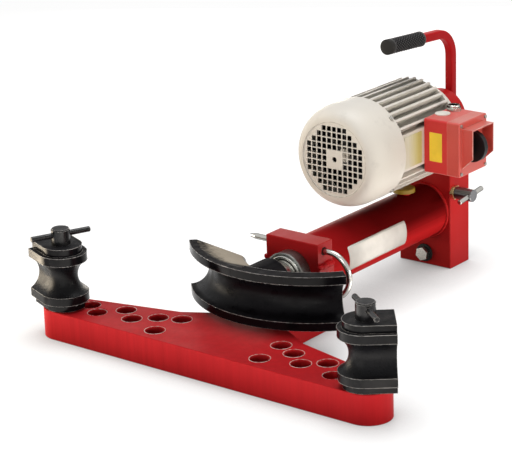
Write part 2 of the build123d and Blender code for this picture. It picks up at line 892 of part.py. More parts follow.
# Drain plug with its washer
with BuildPart() as drain_washer:
    with BuildSketch(across(block_y)):
        with Locations((0, plug_z)):
            Circle(plug_washer_r)
            Circle(plug_thread_r + joint_fit, mode=Mode.SUBTRACT)
    extrude(amount=plug_washer_t)
    chamfer(drain_washer.edges().group_by(Axis.Y)[0].sort_by(SortBy.LENGTH)[-1], plug_washer_t / 4)
pieces["drain_washer"] = drain_washer
with BuildPart() as drain_plug:
    with BuildSketch(across(block_y - plug_washer_t)):
        with Locations((0, plug_z)):
            RegularPolygon(plug_af / 2, 6, major_radius=False, rotation=plug_turn_deg)
    extrude(amount=plug_head_t)
    with BuildSketch(across(block_y - plug_washer_t)):
        with Locations((0, plug_z)):
            Circle(plug_thread_r)
    extrude(amount=-plug_washer_t - plug_thread_len + thread_end_gap)
pieces["drain_plug"] = drain_plug

# Release valve: brass nut on the block, stem and knob in one, and a cross bar
nut_x = block_half_w + valve_nut_t
knob_x = nut_x + seat_gap
valve_bar_x = knob_x + valve_knob_len - valve_bar_in
valve_bar_tilt = math.radians(valve_bar_tilt_deg)
valve_bar_plane = Plane(
    origin=(valve_bar_x, valve_y, valve_z), z_dir=(0, math.cos(valve_bar_tilt), math.sin(valve_bar_tilt))
)
with BuildPart() as release_nut:
    with BuildSketch(beside(block_half_w)):
        with Locations((valve_y, valve_z)):
            RegularPolygon(valve_nut_af / 2, 6, major_radius=False)
            Circle(valve_stem_r + run_fit, mode=Mode.SUBTRACT)
    extrude(amount=valve_nut_t)
pieces["release_nut"] = release_nut
with BuildPart() as release_spindle:
    with BuildSketch(beside(knob_x)):
        with Locations((valve_y, valve_z)):
            Circle(valve_knob_r)
    extrude(amount=valve_knob_len)
    chamfer(release_spindle.edges().filter_by(GeomType.CIRCLE), valve_knob_r / 10)
    with BuildSketch(beside(knob_x)):
        with Locations((valve_y, valve_z)):
            Circle(valve_stem_r)
    extrude(amount=-valve_stem_in)
    with BuildSketch(valve_bar_plane):
        Circle(valve_bar_d / 2 + joint_fit)
    extrude(amount=2 * valve_knob_r, both=True, mode=Mode.SUBTRACT)
pieces["release_spindle"] = release_spindle
with BuildPart() as release_bar:
    with BuildSketch(valve_bar_plane):
        Circle(valve_bar_d / 2)
    extrude(amount=valve_bar_len / 2, both=True)
    chamfer(release_bar.edges().filter_by(GeomType.CIRCLE), valve_bar_d / 8)
pieces["release_bar"] = release_bar

# Carrying handle: square bar up the back of the cover, bent forward over the motor
bar_y = cover_rear_y + bar_w / 2
grip_rise = math.radians(grip_rise_deg)
grip_y = bar_y - grip_front
bar_corner_z = grip_z - grip_front * math.tan(grip_rise)
bar_foot_z = motor_z - bar_foot_drop
grip_way = (0, -math.cos(grip_rise), math.sin(grip_rise))
bar_end_y = grip_y + grip_end_t * math.cos(grip_rise)
bar_end_z = grip_z - grip_end_t * math.sin(grip_rise)
with BuildPart() as handle_bar:
    with BuildLine(Plane.YZ) as bar_path:
        FilletPolyline((bar_y, bar_foot_z), (bar_y, bar_corner_z), (bar_end_y, bar_end_z), radius=bend_r)
    with BuildSketch(Plane(origin=(0, bar_y, bar_foot_z))):
        RectangleRounded(bar_w, bar_w, bar_edge_r)
    sweep(path=bar_path.wires()[0])
pieces["handle_bar"] = handle_bar
grip_start = Plane(origin=(0, grip_y, grip_z), x_dir=(1, 0, 0), z_dir=grip_way).offset(-grip_len)
with BuildPart() as handle_grip:
    with BuildSketch(grip_start):
        Circle(grip_r)
    extrude(amount=grip_len)
    fillet(handle_grip.edges().filter_by(GeomType.CIRCLE), grip_r / 8)
    with BuildSketch(grip_start):
        RectangleRounded(bar_w + 2 * joint_fit, bar_w + 2 * joint_fit, bar_edge_r)
    extrude(amount=grip_len - grip_end_t + joint_fit, mode=Mode.SUBTRACT)
pieces["handle_grip"] = handle_grip

# Motor housing: tube with fins all round, and a flat pad on the right for the box and plate
stator_r = housing_r - housing_wall
with BuildPart() as motor_housing:
    with BuildSketch(across(housing_y)):
        with Locations((0, motor_z)):
            Circle(housing_r)
        with Locations((0, motor_z)):
            with PolarLocations((housing_r + fin_r) / 2, fin_count):
                Rectangle(fin_r - housing_r + root_lap, fin_t)
        with Locations(((stator_r + fin_r) / 2 + stator_r / 4, motor_z)):
            Rectangle(fin_r - stator_r + stator_r / 2, 2 * pad_half_h + fin_t, mode=Mode.SUBTRACT)
        with Locations((pad_x / 2, motor_z)):
            Rectangle(pad_x, 2 * pad_half_h)
        with Locations((0, motor_z)):
            Circle(stator_r, mode=Mode.SUBTRACT)
    extrude(amount=-housing_len)
pieces["motor_housing"] = motor_housing

# End shields with bearing seats; the one at the fan end carries the cowl
spigot_r = stator_r - joint_fit
seat_r = bearing_r + joint_fit
hub_r = bearing_r + hub_wall
eye_r = shaft_r + shaft_eye_gap
drive_bearing_y = shield_y + bearing_inset
drive_bearing_end = drive_bearing_y + bearing_w
web_y = drive_bearing_end - hub_wall / 4
with BuildPart() as drive_end_shield:
    with BuildSketch(Plane.YZ):
        with BuildLine():
            Polyline(
                [
                    (y, motor_z + r)
                    for y, r in (
                        (shield_y - spigot_len, spigot_r - spigot_wall),
                        (shield_y - spigot_len, spigot_r),
                        (shield_y, spigot_r),
                        (shield_y, shield_big_r),
                        (block_y, shield_small_r),
                        (block_y, eye_r),
                        (drive_bearing_end, eye_r),
                        (drive_bearing_end, seat_r),
                        (drive_bearing_y, seat_r),
                        (drive_bearing_y, hub_r),
                        (web_y, hub_r),
                        (web_y, spigot_r - spigot_wall),
                    )
                ],
                close=True,
            )
        make_face()
    revolve(axis=Axis((0, 0, motor_z), (0, 1, 0)))
    with BuildSketch(across(web_y)):
        with Locations(bolt_spots):
            Circle(flange_bolt_r + joint_fit)
    extrude(amount=-shield_len, mode=Mode.SUBTRACT)
pieces["drive_end_shield"] = drive_end_shield
with BuildPart() as motor_bolts:
    with BuildSketch(across(web_y)):
        with Locations(bolt_spots):
            Circle(flange_bolt_r)
    extrude(amount=web_y - block_y - flange_bolt_in + thread_end_gap)
    with BuildSketch(across(web_y)):
        with Locations(bolt_spots):
            RegularPolygon(flange_bolt_af / 2, 6, major_radius=False)
    extrude(amount=flange_bolt_head_t)
pieces["motor_bolts"] = motor_bolts

rim_y = housing_y - cowl_lap
rim_r = cowl_r - cowl_wall - joint_fit
fan_bearing_y = rim_y
fan_bearing_end = fan_bearing_y + bearing_w
fan_web_end = rim_y + hub_wall
with BuildPart() as fan_end_shield:
    with BuildSketch(Plane.YZ):
        with BuildLine():
            Polyline(
                [
                    (y, motor_z + r)
                    for y, r in (
                        (rim_y - hub_wall / 2, eye_r),
                        (rim_y - hub_wall / 2, hub_r),
                        (rim_y, hub_r),
                        (rim_y, rim_r),
                        (housing_y, rim_r),
                        (housing_y, spigot_r),
                        (housing_y + spigot_len, spigot_r),
                        (housing_y + spigot_len, spigot_r - spigot_wall),
                        (fan_web_end, spigot_r - spigot_wall),
                        (fan_web_end, hub_r),
                        (fan_bearing_end, hub_r),
                        (fan_bearing_end, seat_r),
                        (rim_y, seat_r),
                        (rim_y, eye_r),
                    )
                ],
                close=True,
            )
        make_face()
    revolve(axis=Axis((0, 0, motor_z), (0, 1, 0)))
    for spoke in spokes(rim_y + cowl_lap / 2):
        with BuildSketch(spoke.offset(rim_r)):
            Circle(cowl_screw_r + joint_fit)
        extrude(amount=-cowl_screw_in - thread_end_gap, mode=Mode.SUBTRACT)
pieces["fan_end_shield"] = fan_end_shield

# Fan cowl: drawn sheet with a domed shoulder, a stepped face and a square grille
grille_count = int(grille_reach_r / grille_pitch)
grille_steps = [k * grille_pitch for k in range(-grille_count, grille_count + 1)]
grille_spots = [
    (dx, motor_z + dz)
    for dx in grille_steps
    for dz in grille_steps
    if math.hypot(dx, dz) <= grille_reach_r and max(abs(dx), abs(dz)) >= grille_blank_half
]
cowl_face_r = cowl_step_r + cowl_step + cowl_rim_w
dome_y = cowl_y + cowl_dome_len
with BuildPart() as fan_cover:
    with BuildSketch(Plane.YZ):
        with BuildLine():
            Polyline(
                (cowl_y + cowl_step, motor_z),
                (cowl_y + cowl_step, motor_z + cowl_step_r),
                (cowl_y, motor_z + cowl_step_r + cowl_step),
                (cowl_y, motor_z + cowl_face_r),
            )
            EllipticalCenterArc(
                (dome_y, motor_z + cowl_face_r),
                cowl_dome_len,
                cowl_r - cowl_face_r,
                start_angle=quarter_deg,
                arc_size=quarter_deg,
            )
            Polyline(
                (dome_y, motor_z + cowl_r),
                (housing_y, motor_z + cowl_r),
                (housing_y, motor_z + cowl_r - cowl_wall),
                (dome_y, motor_z + cowl_r - cowl_wall),
            )
            EllipticalCenterArc(
                (dome_y, motor_z + cowl_face_r),
                cowl_dome_len - cowl_wall,
                cowl_r - cowl_face_r - cowl_wall,
                start_angle=quarter_deg,
                arc_size=quarter_deg,
            )
            Polyline(
                (cowl_y + cowl_wall, motor_z + cowl_face_r),
                (cowl_y + cowl_wall, motor_z + cowl_step_r + 2 * cowl_step),
                (cowl_y + cowl_wall + cowl_step, motor_z + cowl_step_r),
                (cowl_y + cowl_wall + cowl_step, motor_z),
                (cowl_y + cowl_step, motor_z),
            )
        make_face()
    revolve(axis=Axis((0, 0, motor_z), (0, 1, 0)))
    with BuildSketch(across(cowl_y)):
        with Locations(grille_spots):
            Rectangle(grille_hole, grille_hole)
        with Locations((0, motor_z)):
            Circle(grille_eye_r)
    extrude(amount=-cowl_wall - 2 * cowl_step, mode=Mode.SUBTRACT)
    for spoke in spokes(rim_y + cowl_lap / 2):
        with BuildSketch(spoke.offset(rim_r)):
            Circle(cowl_screw_r + joint_fit)
        extrude(amount=2 * cowl_wall, mode=Mode.SUBTRACT)
pieces["fan_cover"] = fan_cover
with BuildPart() as fan_cover_screws:
    for spoke in spokes(rim_y + cowl_lap / 2):
        with BuildSketch(spoke.offset(cowl_r)):
            Circle(cowl_screw_head_r)
        extrude(amount=cowl_screw_head_t)
        with BuildSketch(spoke.offset(cowl_r)):
            Circle(cowl_screw_r)
        extrude(amount=rim_r - cowl_r - cowl_screw_in)
pieces["fan_cover_screws"] = fan_cover_screws

# Stator with its windings, rotor, shaft, bearings and fan
stator_y = housing_y + (housing_len - stator_len) / 2
pieces["stator_core"] = ring(motor_z, stator_y, stator_len, stator_r - joint_fit, stator_bore_r)
with BuildPart() as windings:
    for winding_y in (stator_y - winding_len, stator_y + stator_len):
        with BuildSketch(across(winding_y)):
            with Locations((0, motor_z)):
                Circle(winding_out_r)
                Circle(winding_in_r, mode=Mode.SUBTRACT)
        extrude(amount=-winding_len)
pieces["windings"] = windings
pieces["rotor_core"] = ring(motor_z, stator_y, stator_len, stator_bore_r - air_gap, shaft_r + joint_fit)
fan_y = rim_y - hub_wall / 2 - fan_tail / 2 - fan_w
shaft_front_y = fan_y - shaft_stub
pieces["motor_shaft"] = turned(
    motor_z,
    [
        (shaft_front_y, 0),
        (shaft_front_y, shaft_r),
        (pocket_y, shaft_r),
        (pocket_y, gear_shaft_r),
        (block_rear_y + journal_len, gear_shaft_r),
        (block_rear_y + journal_len, 0),
    ],
)
pieces["fan_bearing"] = ring(motor_z, fan_bearing_y, bearing_w, bearing_r, shaft_r + run_fit)
pieces["drive_bearing"] = ring(motor_z, drive_bearing_y, bearing_w, bearing_r, shaft_r + run_fit)
with BuildPart() as cooling_fan:
    with BuildSketch(across(fan_y)):
        with Locations((0, motor_z)):
            Circle(fan_hub_r)
        with Locations((0, motor_z)):
            with PolarLocations((fan_hub_r + fan_r) / 2, fan_blades):
                Rectangle(fan_r - fan_hub_r + root_lap, fan_plate_t)
    extrude(amount=-fan_w)
    with BuildSketch(across(fan_y + fan_w - fan_plate_t)):
        with Locations((0, motor_z)):
            Circle(fan_r)
    extrude(amount=-fan_plate_t)
    with BuildSketch(across(fan_y)):
        with Locations((0, motor_z)):
            Circle(shaft_r + joint_fit)
    extrude(amount=-fan_w, mode=Mode.SUBTRACT)
pieces["cooling_fan"] = cooling_fan
with BuildPart() as rating_plate:
    with BuildSketch(beside(pad_x)):
        with Locations((housing_y + box_from_cowl / 2, motor_z)):
            RectangleRounded(plate_w, plate_h, plate_sheet)
    extrude(amount=plate_sheet)
pieces["rating_plate"] = rating_plate

# Switch box: base on the motor pad, lid with a guard hood round the knob
box_y = housing_y + box_from_cowl
box_mid_y = box_y + box_len / 2
lid_x = pad_x + box_base_d
face_x = lid_x + box_lid_d
knob_y = box_y + knob_from_front
box_top_z = motor_z + box_h / 2
hood_top_z = box_top_z - hood_below_top
hood_y = knob_y - hood_len / 2
cable_y = box_y + box_len - gland_from_rear
cable_x = pad_x + gland_x_in
blank_x = pad_x + plug_x_in
blank_y = cable_y - gland_af / math.sqrt(3) - plug_gap - blank_r
lid_screw_spots = [
    (box_mid_y + sy * (box_len / 2 - lid_screw_inset), motor_z + sz * (box_h / 2 - lid_screw_inset))
    for sy in (-1, 1)
    for sz in (-1, 1)
]
boss_size = 2 * (lid_screw_inset - box_wall)
with BuildPart() as switch_base:
    with BuildSketch(beside(pad_x)):
        with Locations((box_mid_y, motor_z)):
            RectangleRounded(box_len, box_h, box_edge_r)
    extrude(amount=box_base_d)
    with BuildSketch(beside(pad_x + box_wall)):
        with Locations((box_mid_y, motor_z)):
            Rectangle(box_len - 2 * box_wall, box_h - 2 * box_wall)
        with Locations(lid_screw_spots):
            Rectangle(boss_size, boss_size, mode=Mode.SUBTRACT)
    extrude(amount=box_base_d, mode=Mode.SUBTRACT)
    with BuildSketch(beside(lid_x)):
        with Locations(lid_screw_spots):
            Circle(lid_screw_r + joint_fit)
    extrude(amount=-box_base_d / 2, mode=Mode.SUBTRACT)
    with BuildSketch(Plane.XY.offset(box_top_z)):
        with Locations((cable_x, cable_y)):
            Circle(gland_thread + joint_fit)
        with Locations((blank_x, blank_y)):
            Circle(blank_stem_r + joint_fit)
    extrude(amount=-2 * box_wall, mode=Mode.SUBTRACT)
pieces["switch_base"] = switch_base
with BuildPart() as switch_lid:
    with BuildSketch(beside(lid_x)):
        with Locations((box_mid_y, motor_z)):
            RectangleRounded(box_len, box_h, box_edge_r)
    extrude(amount=box_lid_d)
    fillet(switch_lid.faces().sort_by(Axis.X)[-1].edges(), box_edge_r / 2)
    with BuildSketch(beside(lid_x)):
        with Locations((box_mid_y, motor_z)):
            Rectangle(box_len - 2 * box_wall, box_h - 2 * box_wall)
        with Locations(lid_screw_spots):
            Rectangle(boss_size, boss_size, mode=Mode.SUBTRACT)
    extrude(amount=box_lid_d - box_wall, mode=Mode.SUBTRACT)
    with BuildSketch(Plane(origin=(0, hood_y, 0), x_dir=(1, 0, 0), z_dir=(0, -1, 0))):
        with BuildLine():
            Polyline(
                (face_x, hood_top_z),
                (face_x + hood_out, hood_top_z),
                (face_x + hood_out, hood_top_z - hood_h + hood_slant),
                (face_x, hood_top_z - hood_h),
                close=True,
            )
        make_face()
    extrude(amount=-hood_len)
    with BuildSketch(Plane(origin=(0, hood_y + hood_wall, 0), x_dir=(1, 0, 0), z_dir=(0, -1, 0))):
        with Locations((face_x + hood_out, hood_top_z - hood_wall)):
            Rectangle(2 * hood_out, 2 * hood_h, align=(Align.CENTER, Align.MAX))
    extrude(amount=-hood_len + 2 * hood_wall, mode=Mode.SUBTRACT)
    with BuildSketch(beside(face_x)):
        with Locations((knob_y, motor_z)):
            Circle(knob_stem_r + run_fit)
    extrude(amount=-2 * box_wall, mode=Mode.SUBTRACT)
    with BuildSketch(beside(face_x)):
        with Locations(lid_screw_spots):
            Circle(lid_screw_r + joint_fit)
    extrude(amount=-box_lid_d, mode=Mode.SUBTRACT)
pieces["switch_lid"] = switch_lid
with BuildPart() as lid_screws:
    with BuildSketch(beside(face_x)):
        with Locations(lid_screw_spots):
            Circle(lid_screw_r)
    extrude(amount=-box_lid_d - box_base_d / 3)
    with BuildSketch(beside(face_x)):
        with Locations(lid_screw_spots):
            Circle(lid_screw_head_r)
    extrude(amount=lid_screw_head_t)
pieces["lid_screws"] = lid_screws

# Rotary switch behind the lid, and the knob in the hood
switch_x = face_x - box_wall
with BuildPart() as switch_body:
    with BuildSketch(beside(switch_x)):
        with Locations((knob_y, motor_z)):
            RectangleRounded(switch_size, switch_size, box_wall)
    extrude(amount=-switch_depth)
    with BuildSketch(beside(switch_x)):
        with Locations((knob_y, motor_z)):
            Circle(knob_stem_r + run_fit)
    extrude(amount=-switch_depth / 2, mode=Mode.SUBTRACT)
pieces["switch_body"] = switch_body
knob_base_x = face_x + seat_gap
fin_x = knob_base_x + knob_disc_t
with BuildPart() as switch_knob:
    with BuildSketch(beside(knob_base_x)):
        with Locations((knob_y, motor_z)):
            Circle(knob_disc_r)
    extrude(amount=knob_disc_t)
    with BuildSketch(Plane(origin=(0, knob_y, 0), x_dir=(1, 0, 0), z_dir=(0, -1, 0))):
        with BuildLine():
            ThreePointArc(
                (knob_base_x, motor_z - knob_fin_r),
                (knob_base_x + knob_fin_r, motor_z),
                (knob_base_x, motor_z + knob_fin_r),
            )
            Line((knob_base_x, motor_z + knob_fin_r), (knob_base_x, motor_z - knob_fin_r))
        make_face()
    extrude(amount=knob_fin_t / 2, both=True)
    with BuildSketch(beside(knob_base_x)):
        with Locations((knob_y, motor_z)):
            Circle(knob_stem_r)
    extrude(amount=-box_wall - switch_depth / 3)
pieces["switch_knob"] = switch_knob

# Cable gland and blanking plug on top of the box
with BuildPart() as cable_gland:
    with BuildSketch(Plane.XY.offset(box_top_z)):
        with Locations((cable_x, cable_y)):
            RegularPolygon(gland_af / 2, 6, major_radius=False)
    extrude(amount=gland_nut_t)
    with BuildSketch(Plane.XY.offset(box_top_z + gland_nut_t)):
        with Locations((cable_x, cable_y)):
            Circle(gland_cap_r)
    extrude(amount=gland_cap_t)
    fillet(cable_gland.faces().sort_by(Axis.Z)[-1].edges(), gland_cap_t / 3)
    with BuildSketch(Plane.XY.offset(box_top_z)):
        with Locations((cable_x, cable_y)):
            Circle(gland_thread)
    extrude(amount=-2 * box_wall)
    with BuildSketch(Plane.XY.offset(box_top_z - 2 * box_wall)):
        with Locations((cable_x, cable_y)):
            Circle(gland_hole_r)
    extrude(amount=2 * box_wall + gland_nut_t + gland_cap_t, mode=Mode.SUBTRACT)
pieces["cable_gland"] = cable_gland
with BuildPart() as blanking_plug:
    with BuildSketch(Plane.XY.offset(box_top_z)):
        with Locations((blank_x, blank_y)):
            Circle(blank_r)
    extrude(amount=blank_t)
    fillet(blanking_plug.faces().sort_by(Axis.Z)[-1].edges(), blank_t / 2)
    with BuildSketch(Plane.XY.offset(box_top_z)):
        with Locations((blank_x, blank_y)):
            Circle(blank_stem_r)
    extrude(amount=-2 * box_wall)
pieces["blanking_plug"] = blanking_plug

for name, piece in pieces.items():
    piece.part.label = name
    export_step(piece.part, f"parts/{name}.step")
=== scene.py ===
import json
import math
import random

import bmesh
import bpy
from mathutils import Matrix, Vector


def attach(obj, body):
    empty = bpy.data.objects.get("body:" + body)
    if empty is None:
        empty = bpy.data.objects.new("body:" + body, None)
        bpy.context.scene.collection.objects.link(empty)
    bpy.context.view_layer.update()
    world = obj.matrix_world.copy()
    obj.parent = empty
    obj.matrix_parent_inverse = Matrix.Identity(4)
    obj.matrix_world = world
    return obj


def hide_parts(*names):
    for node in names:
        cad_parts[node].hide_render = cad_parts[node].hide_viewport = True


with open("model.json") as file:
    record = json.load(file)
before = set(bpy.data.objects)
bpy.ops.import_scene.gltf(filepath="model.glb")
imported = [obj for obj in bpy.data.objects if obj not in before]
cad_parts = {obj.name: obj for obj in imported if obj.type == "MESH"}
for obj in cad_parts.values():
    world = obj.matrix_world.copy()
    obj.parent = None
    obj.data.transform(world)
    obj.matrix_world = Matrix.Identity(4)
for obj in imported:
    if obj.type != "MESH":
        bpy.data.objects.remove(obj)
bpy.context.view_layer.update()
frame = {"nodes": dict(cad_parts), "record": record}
nodes = frame["nodes"]
scene = bpy.context.scene

AXIS_X = Vector((1, 0, 0))
AXIS_Y = Vector((0, 1, 0))
AXIS_Z = Vector((0, 0, 1))
SIDES = (("left", -1), ("right", 1))
TINY = 1e-6
EDGE_LINE_SIDES = 6
EDGE_LINE_RANGE = (0.25, 1.15)

# Lengths are in metres, and angles are written in degrees
RAM_Z = 0.1035
MOTOR_Z = 0.2664
PLATE_T = 0.050

# Head block, cylinder neck, oil jacket and rear block
HEAD_X = 0.0538
HEAD_Y = (0.2233, 0.2623)
SADDLE_Z = 0.1215
NECK_Y = 0.2004
NECK_R = 0.0384
NECK_LINE_R = 0.0008
TUBE_R = 0.0484
BLOCK_Y = 0.6174

# Weld beads
HEAD_WELD_R = 0.0048
HEAD_WELD_OUT = 0.0015
HEAD_WELD_DROP = 0.002
HEAD_WELD_LEAD = 0.001
FOOT_WELD_R = 0.004
FOOT_WELD_X = 0.0505
JACKET_WELD_R = 0.003
JACKET_WELD_OFF = 0.001
JACKET_WELD_OUT_REAR = 0.0006
JACKET_WELD_OUT_FRONT = 0.0004
JACKET_WELD_START = -88
JACKET_WELD_STOP = 268
JACKET_WELD_STEPS = 150
BEAD_STEP = 0.35
BEAD_RIPPLE = 0.12
BEAD_PERIOD = 3.0
BEAD_TAPER = 0.55
BEAD_SIDES = 10

# Labels and the tint of the rating plate
LABEL_T = 0.0005
LABEL_EDGE = 0.7
LABEL_INSET = 0.99
LABEL_STEPS = 24
CORNER_STEPS = 6
JACKET_LABEL_Y = (0.3195, 0.489)
JACKET_LABEL_ARC = (-24.0, 28.0)
JACKET_LABEL_CORNER = 0.004
BOX_LABEL_PLACE = Vector((0.1034, 0.4990, 0.2660))
BOX_LABEL_SIZE = (0.0253, 0.0512)
BOX_LABEL_CORNER = 0.0015
PLATE_TINT_Y = (0.450, 0.480)

# Former
FORMER_Y = 0.2955
FORMER_R = 0.217
FORMER_TOP_W = 0.0125
FORMER_LAND_W = 0.024
FORMER_LAND_DEG = 1.0
FORMER_HALF_H = 0.046
FORMER_HALF_DEG = 48.7
FORMER_LINE_R = 0.0005
FORMER_LINE_STEPS = 120
GROOVE_R = 0.032

# Rollers and their pins
PIN_X = 0.311
PIN_Y = -0.0032
PIN_TOP = 0.1872
PIN_RIM_R = 0.0142
PIN_RIM_DROP = 0.0002
PIN_LINE_R = 0.0004
ROLLER_Z = 0.1050
ROLLER_R = 0.0407
ROLLER_DISC_R = 0.0331
ROLLER_BACK = 0.0481
ROLLER_OFFSET = 0.0033
ROLLER_TURNS = {"left": 158.1, "right": 38.7}
ROLLER_LIP_H = 0.0278
ROLLER_EDGES = ((ROLLER_R, ROLLER_LIP_H), (ROLLER_R, 0.0420), (ROLLER_DISC_R, 0.0547))
ROLLER_LINE_R = 0.00045
ROLLER_LINE_STEPS = 60

# Painted highlight rims of the spare pin holes, also rubbed wear, sunk into the chamfer where a turning
# roller sweeps past
HOLE_RIM_R = 0.0173
HOLE_RIM_T = 0.0006
HOLE_RIM_SINK = 1.3 * HOLE_RIM_T
ROLLER_SWEEP = 0.080

# Painted shadow ring in the mouth of the locking pin's hole
LOCK_PIN_Y = 0.2405
LOCK_PIN_Z = 0.1445
LOCK_RING_R = 0.0063
LOCK_RING_T = 0.0010
LOCK_RING_STEPS = 40

# Guard hood of the switch and face of the fan cowl
HOOD_Y = 0.507
HOOD_REAR_Y = 0.573
HOOD_EDGE = ((0.1512, 0.2326), (0.1728, 0.2526), (0.1728, 0.3036))
HOOD_LINE_R = 0.0006
HOOD_LINE_STEPS = 14
COWL_Y = 0.3453
COWL_RING_R = 0.0655
COWL_RING_IN = 0.0003
COWL_LINE_R = 0.0006
RING_STEPS = 90

# Handle grip: stations run from its rear end to its capped front end
GRIP_R = 0.0135
GRIP_LEN = 0.104
GRIP_RISE = math.radians(3.7)
GRIP_END = Vector((0, 0.503, 0.4277))
GRIP_WAY = Vector((0, -math.cos(GRIP_RISE), math.sin(GRIP_RISE)))
GRIP_NECK_R = GRIP_R - 0.0007
GRIP_REAR = ((0.0, 0.0085), (0.0, 0.0122), (0.0012, GRIP_R), (0.0045, GRIP_R), (0.0052, GRIP_NECK_R))
GRIP_FRONT = ((0.0918, GRIP_NECK_R), (0.0926, GRIP_R), (0.1026, GRIP_R), (0.1036, GRIP_R - 0.0010),
              (GRIP_LEN, GRIP_R - 0.0024))
GRIP_DISH = 0.0002
GRIP_CAP = 0.0100
GRIP_CAP_BLEND = 0.0005
GRIP_SIDES = 120
KNURL_SPAN = (0.0060, 0.0910)
KNURL_STEPS = 102
KNURL_DEPTH = 0.0010
KNURL_STARTS = 8
KNURL_PITCH = 0.0075
KNURL_RUN_OUT = 0.0005
KNURL_FADE = 0.002
KNURL_SHARPNESS = 0.7

# Camera of the photograph
CAMERA_PLACE = (2.0354, -2.4050, 1.3036)
CAMERA_AZIMUTH = math.radians(38.762)
CAMERA_ELEVATION = math.radians(18.552)
CAMERA_ROLL = math.radians(-1.877)
CAMERA_SENSOR_MM = 36.0
CAMERA_FOCAL_PX = 2118.21
CAMERA_CLIP_END = 50.0
IMAGE_WIDTH_PX = 512

# Soft spot on the motor end
SPOT_PLACE = (0.6, -1.6, 1.3)
SPOT_AIM = (0.15, 0.6, 0.27)
SPOT_WATTS = 60
SPOT_COLOR = (1.0, 0.99, 0.96)
SPOT_ANGLE = math.radians(20)
SPOT_BLEND = 0.6
SPOT_R = 0.3

# Floor and surroundings
WHITE = (1, 1, 1, 1)
WORLD_LIGHT = 0.03
FLOOR_REACH = 30.0
FLOOR_DROP = 0.0005
FLOOR_GREY = 0.4
FLOOR_SHADE = 0.24
FLOOR_GLOW = 0.93
FLOOR_CONTACT = 0.12

# Sockets of the colour mix node
MIX_FIRST = 6
MIX_SECOND = 7
MIX_RESULT = 2


def scaled(color, share):
    return tuple(v * share for v in color)


class Shader:
    """A material with one Principled shader, and short ways to feed it."""

    def __init__(self, name, color, roughness, metallic=0.0, **more):
        self.mat = bpy.data.materials.new(name)
        self.mat.use_nodes = True
        self.tree = self.mat.node_tree
        self.tree.nodes.clear()
        out = self.node("ShaderNodeOutputMaterial")
        self.bsdf = self.node("ShaderNodeBsdfPrincipled")
        self.link(self.bsdf.outputs[0], out.inputs[0])
        self.bsdf.inputs["Base Color"].default_value = (*color, 1)
        self.bsdf.inputs["Roughness"].default_value = roughness
        self.bsdf.inputs["Metallic"].default_value = metallic
        for key, value in more.items():
            self.bsdf.inputs[key.replace("_", " ")].default_value = value
        self.coord = self.node("ShaderNodeTexCoord").outputs["Object"]

    def node(self, kind, **props):
        n = self.tree.nodes.new(kind)
        for key, value in props.items():
            setattr(n, key, value)
        return n

    def link(self, a, b):
        self.tree.links.new(a, b)

    def feed(self, socket, value):
        """Link another node's output to a socket, or set a plain value on it."""
        if isinstance(value, bpy.types.NodeSocket):
            self.link(value, socket)
        else:
            socket.default_value = value

    def parts(self, vector):
        """X, Y and Z of a vector."""
        n = self.node("ShaderNodeSeparateXYZ")
        self.link(vector, n.inputs[0])
        return n.outputs

    def normal(self):
        return self.node("ShaderNodeNewGeometry").outputs["Normal"]

    def noise(self, scale, detail=4.0, rough=0.5, stretch=None, place=None):
        n = self.node("ShaderNodeTexNoise")
        n.inputs["Scale"].default_value = scale
        n.inputs["Detail"].default_value = detail
        n.inputs["Roughness"].default_value = rough
        if place is None:
            place = self.coord
        if stretch:
            m = self.node("ShaderNodeMapping")
            m.inputs["Scale"].default_value = stretch
            self.link(place, m.inputs["Vector"])
            place = m.outputs[0]
        self.link(place, n.inputs["Vector"])
        return n.outputs["Fac"]

    def ramp(self, value, low, high, to_low=0.0, to_high=1.0):
        n = self.node("ShaderNodeMapRange")
        self.link(value, n.inputs["Value"])
        for key, v in (("From Min", low), ("From Max", high), ("To Min", to_low), ("To Max", to_high)):
            n.inputs[key].default_value = v
        return n.outputs[0]

    def math(self, op, a, b=None):
        n = self.node("ShaderNodeMath", operation=op)
        self.feed(n.inputs[0], a)
        if b is not None:
            self.feed(n.inputs[1], b)
        return n.outputs[0]

    def vector(self, op, a, b=None):
        n = self.node("ShaderNodeVectorMath", operation=op)
        self.feed(n.inputs[0], a)
        if b is not None:
            self.feed(n.inputs[1], b)
        return n.outputs["Value" if op in ("DOT_PRODUCT", "LENGTH") else "Vector"]

    def mix(self, fac, first, second):
        n = self.node("ShaderNodeMix", data_type="RGBA")
        self.link(fac, n.inputs["Factor"])
        for key, v in ((MIX_FIRST, first), (MIX_SECOND, second)):
            self.feed(n.inputs[key], (*v, 1) if isinstance(v, tuple) else v)
        return n.outputs[MIX_RESULT]

    def rounded(self, radius):
        """Normal with edges rounded off."""
        n = self.node("ShaderNodeBevel", samples=4)
        n.inputs["Radius"].default_value = radius
        return n.outputs[0]

    def edges(self, radius, low=0.02, high=0.25):
        """1 along sharp edges and 0 on open faces."""
        same = self.vector("DOT_PRODUCT", self.rounded(radius), self.normal())
        return self.ramp(self.math("SUBTRACT", 1.0, same), low, high)

    def bump(self, height, strength, distance, radius):
        """Bumpy skin over edges that are rounded off."""
        n = self.node("ShaderNodeBump")
        n.inputs["Strength"].default_value = strength
        n.inputs["Distance"].default_value = distance
        self.link(height, n.inputs["Height"])
        self.link(self.rounded(radius), n.inputs["Normal"])
        self.link(n.outputs[0], self.bsdf.inputs["Normal"])

    def color(self, value):
        self.link(value, self.bsdf.inputs["Base Color"])

    def rough(self, value):
        self.link(value, self.bsdf.inputs["Roughness"])

    def uneven_rough(self, scale, detail, low, high):
        self.rough(self.ramp(self.noise(scale, detail), 0.3, 0.7, low, high))


def side_shade_mask(s, side, amount, span):
    """Mask of painted shade on faces turned to one side, growing along Y over a span."""
    toward = s.vector("DOT_PRODUCT", s.normal(), side)
    along = s.ramp(s.parts(s.coord)["Y"], *span, 0.35 * amount, amount)
    return s.math("MULTIPLY", s.ramp(toward, 0.35, 0.85), along)


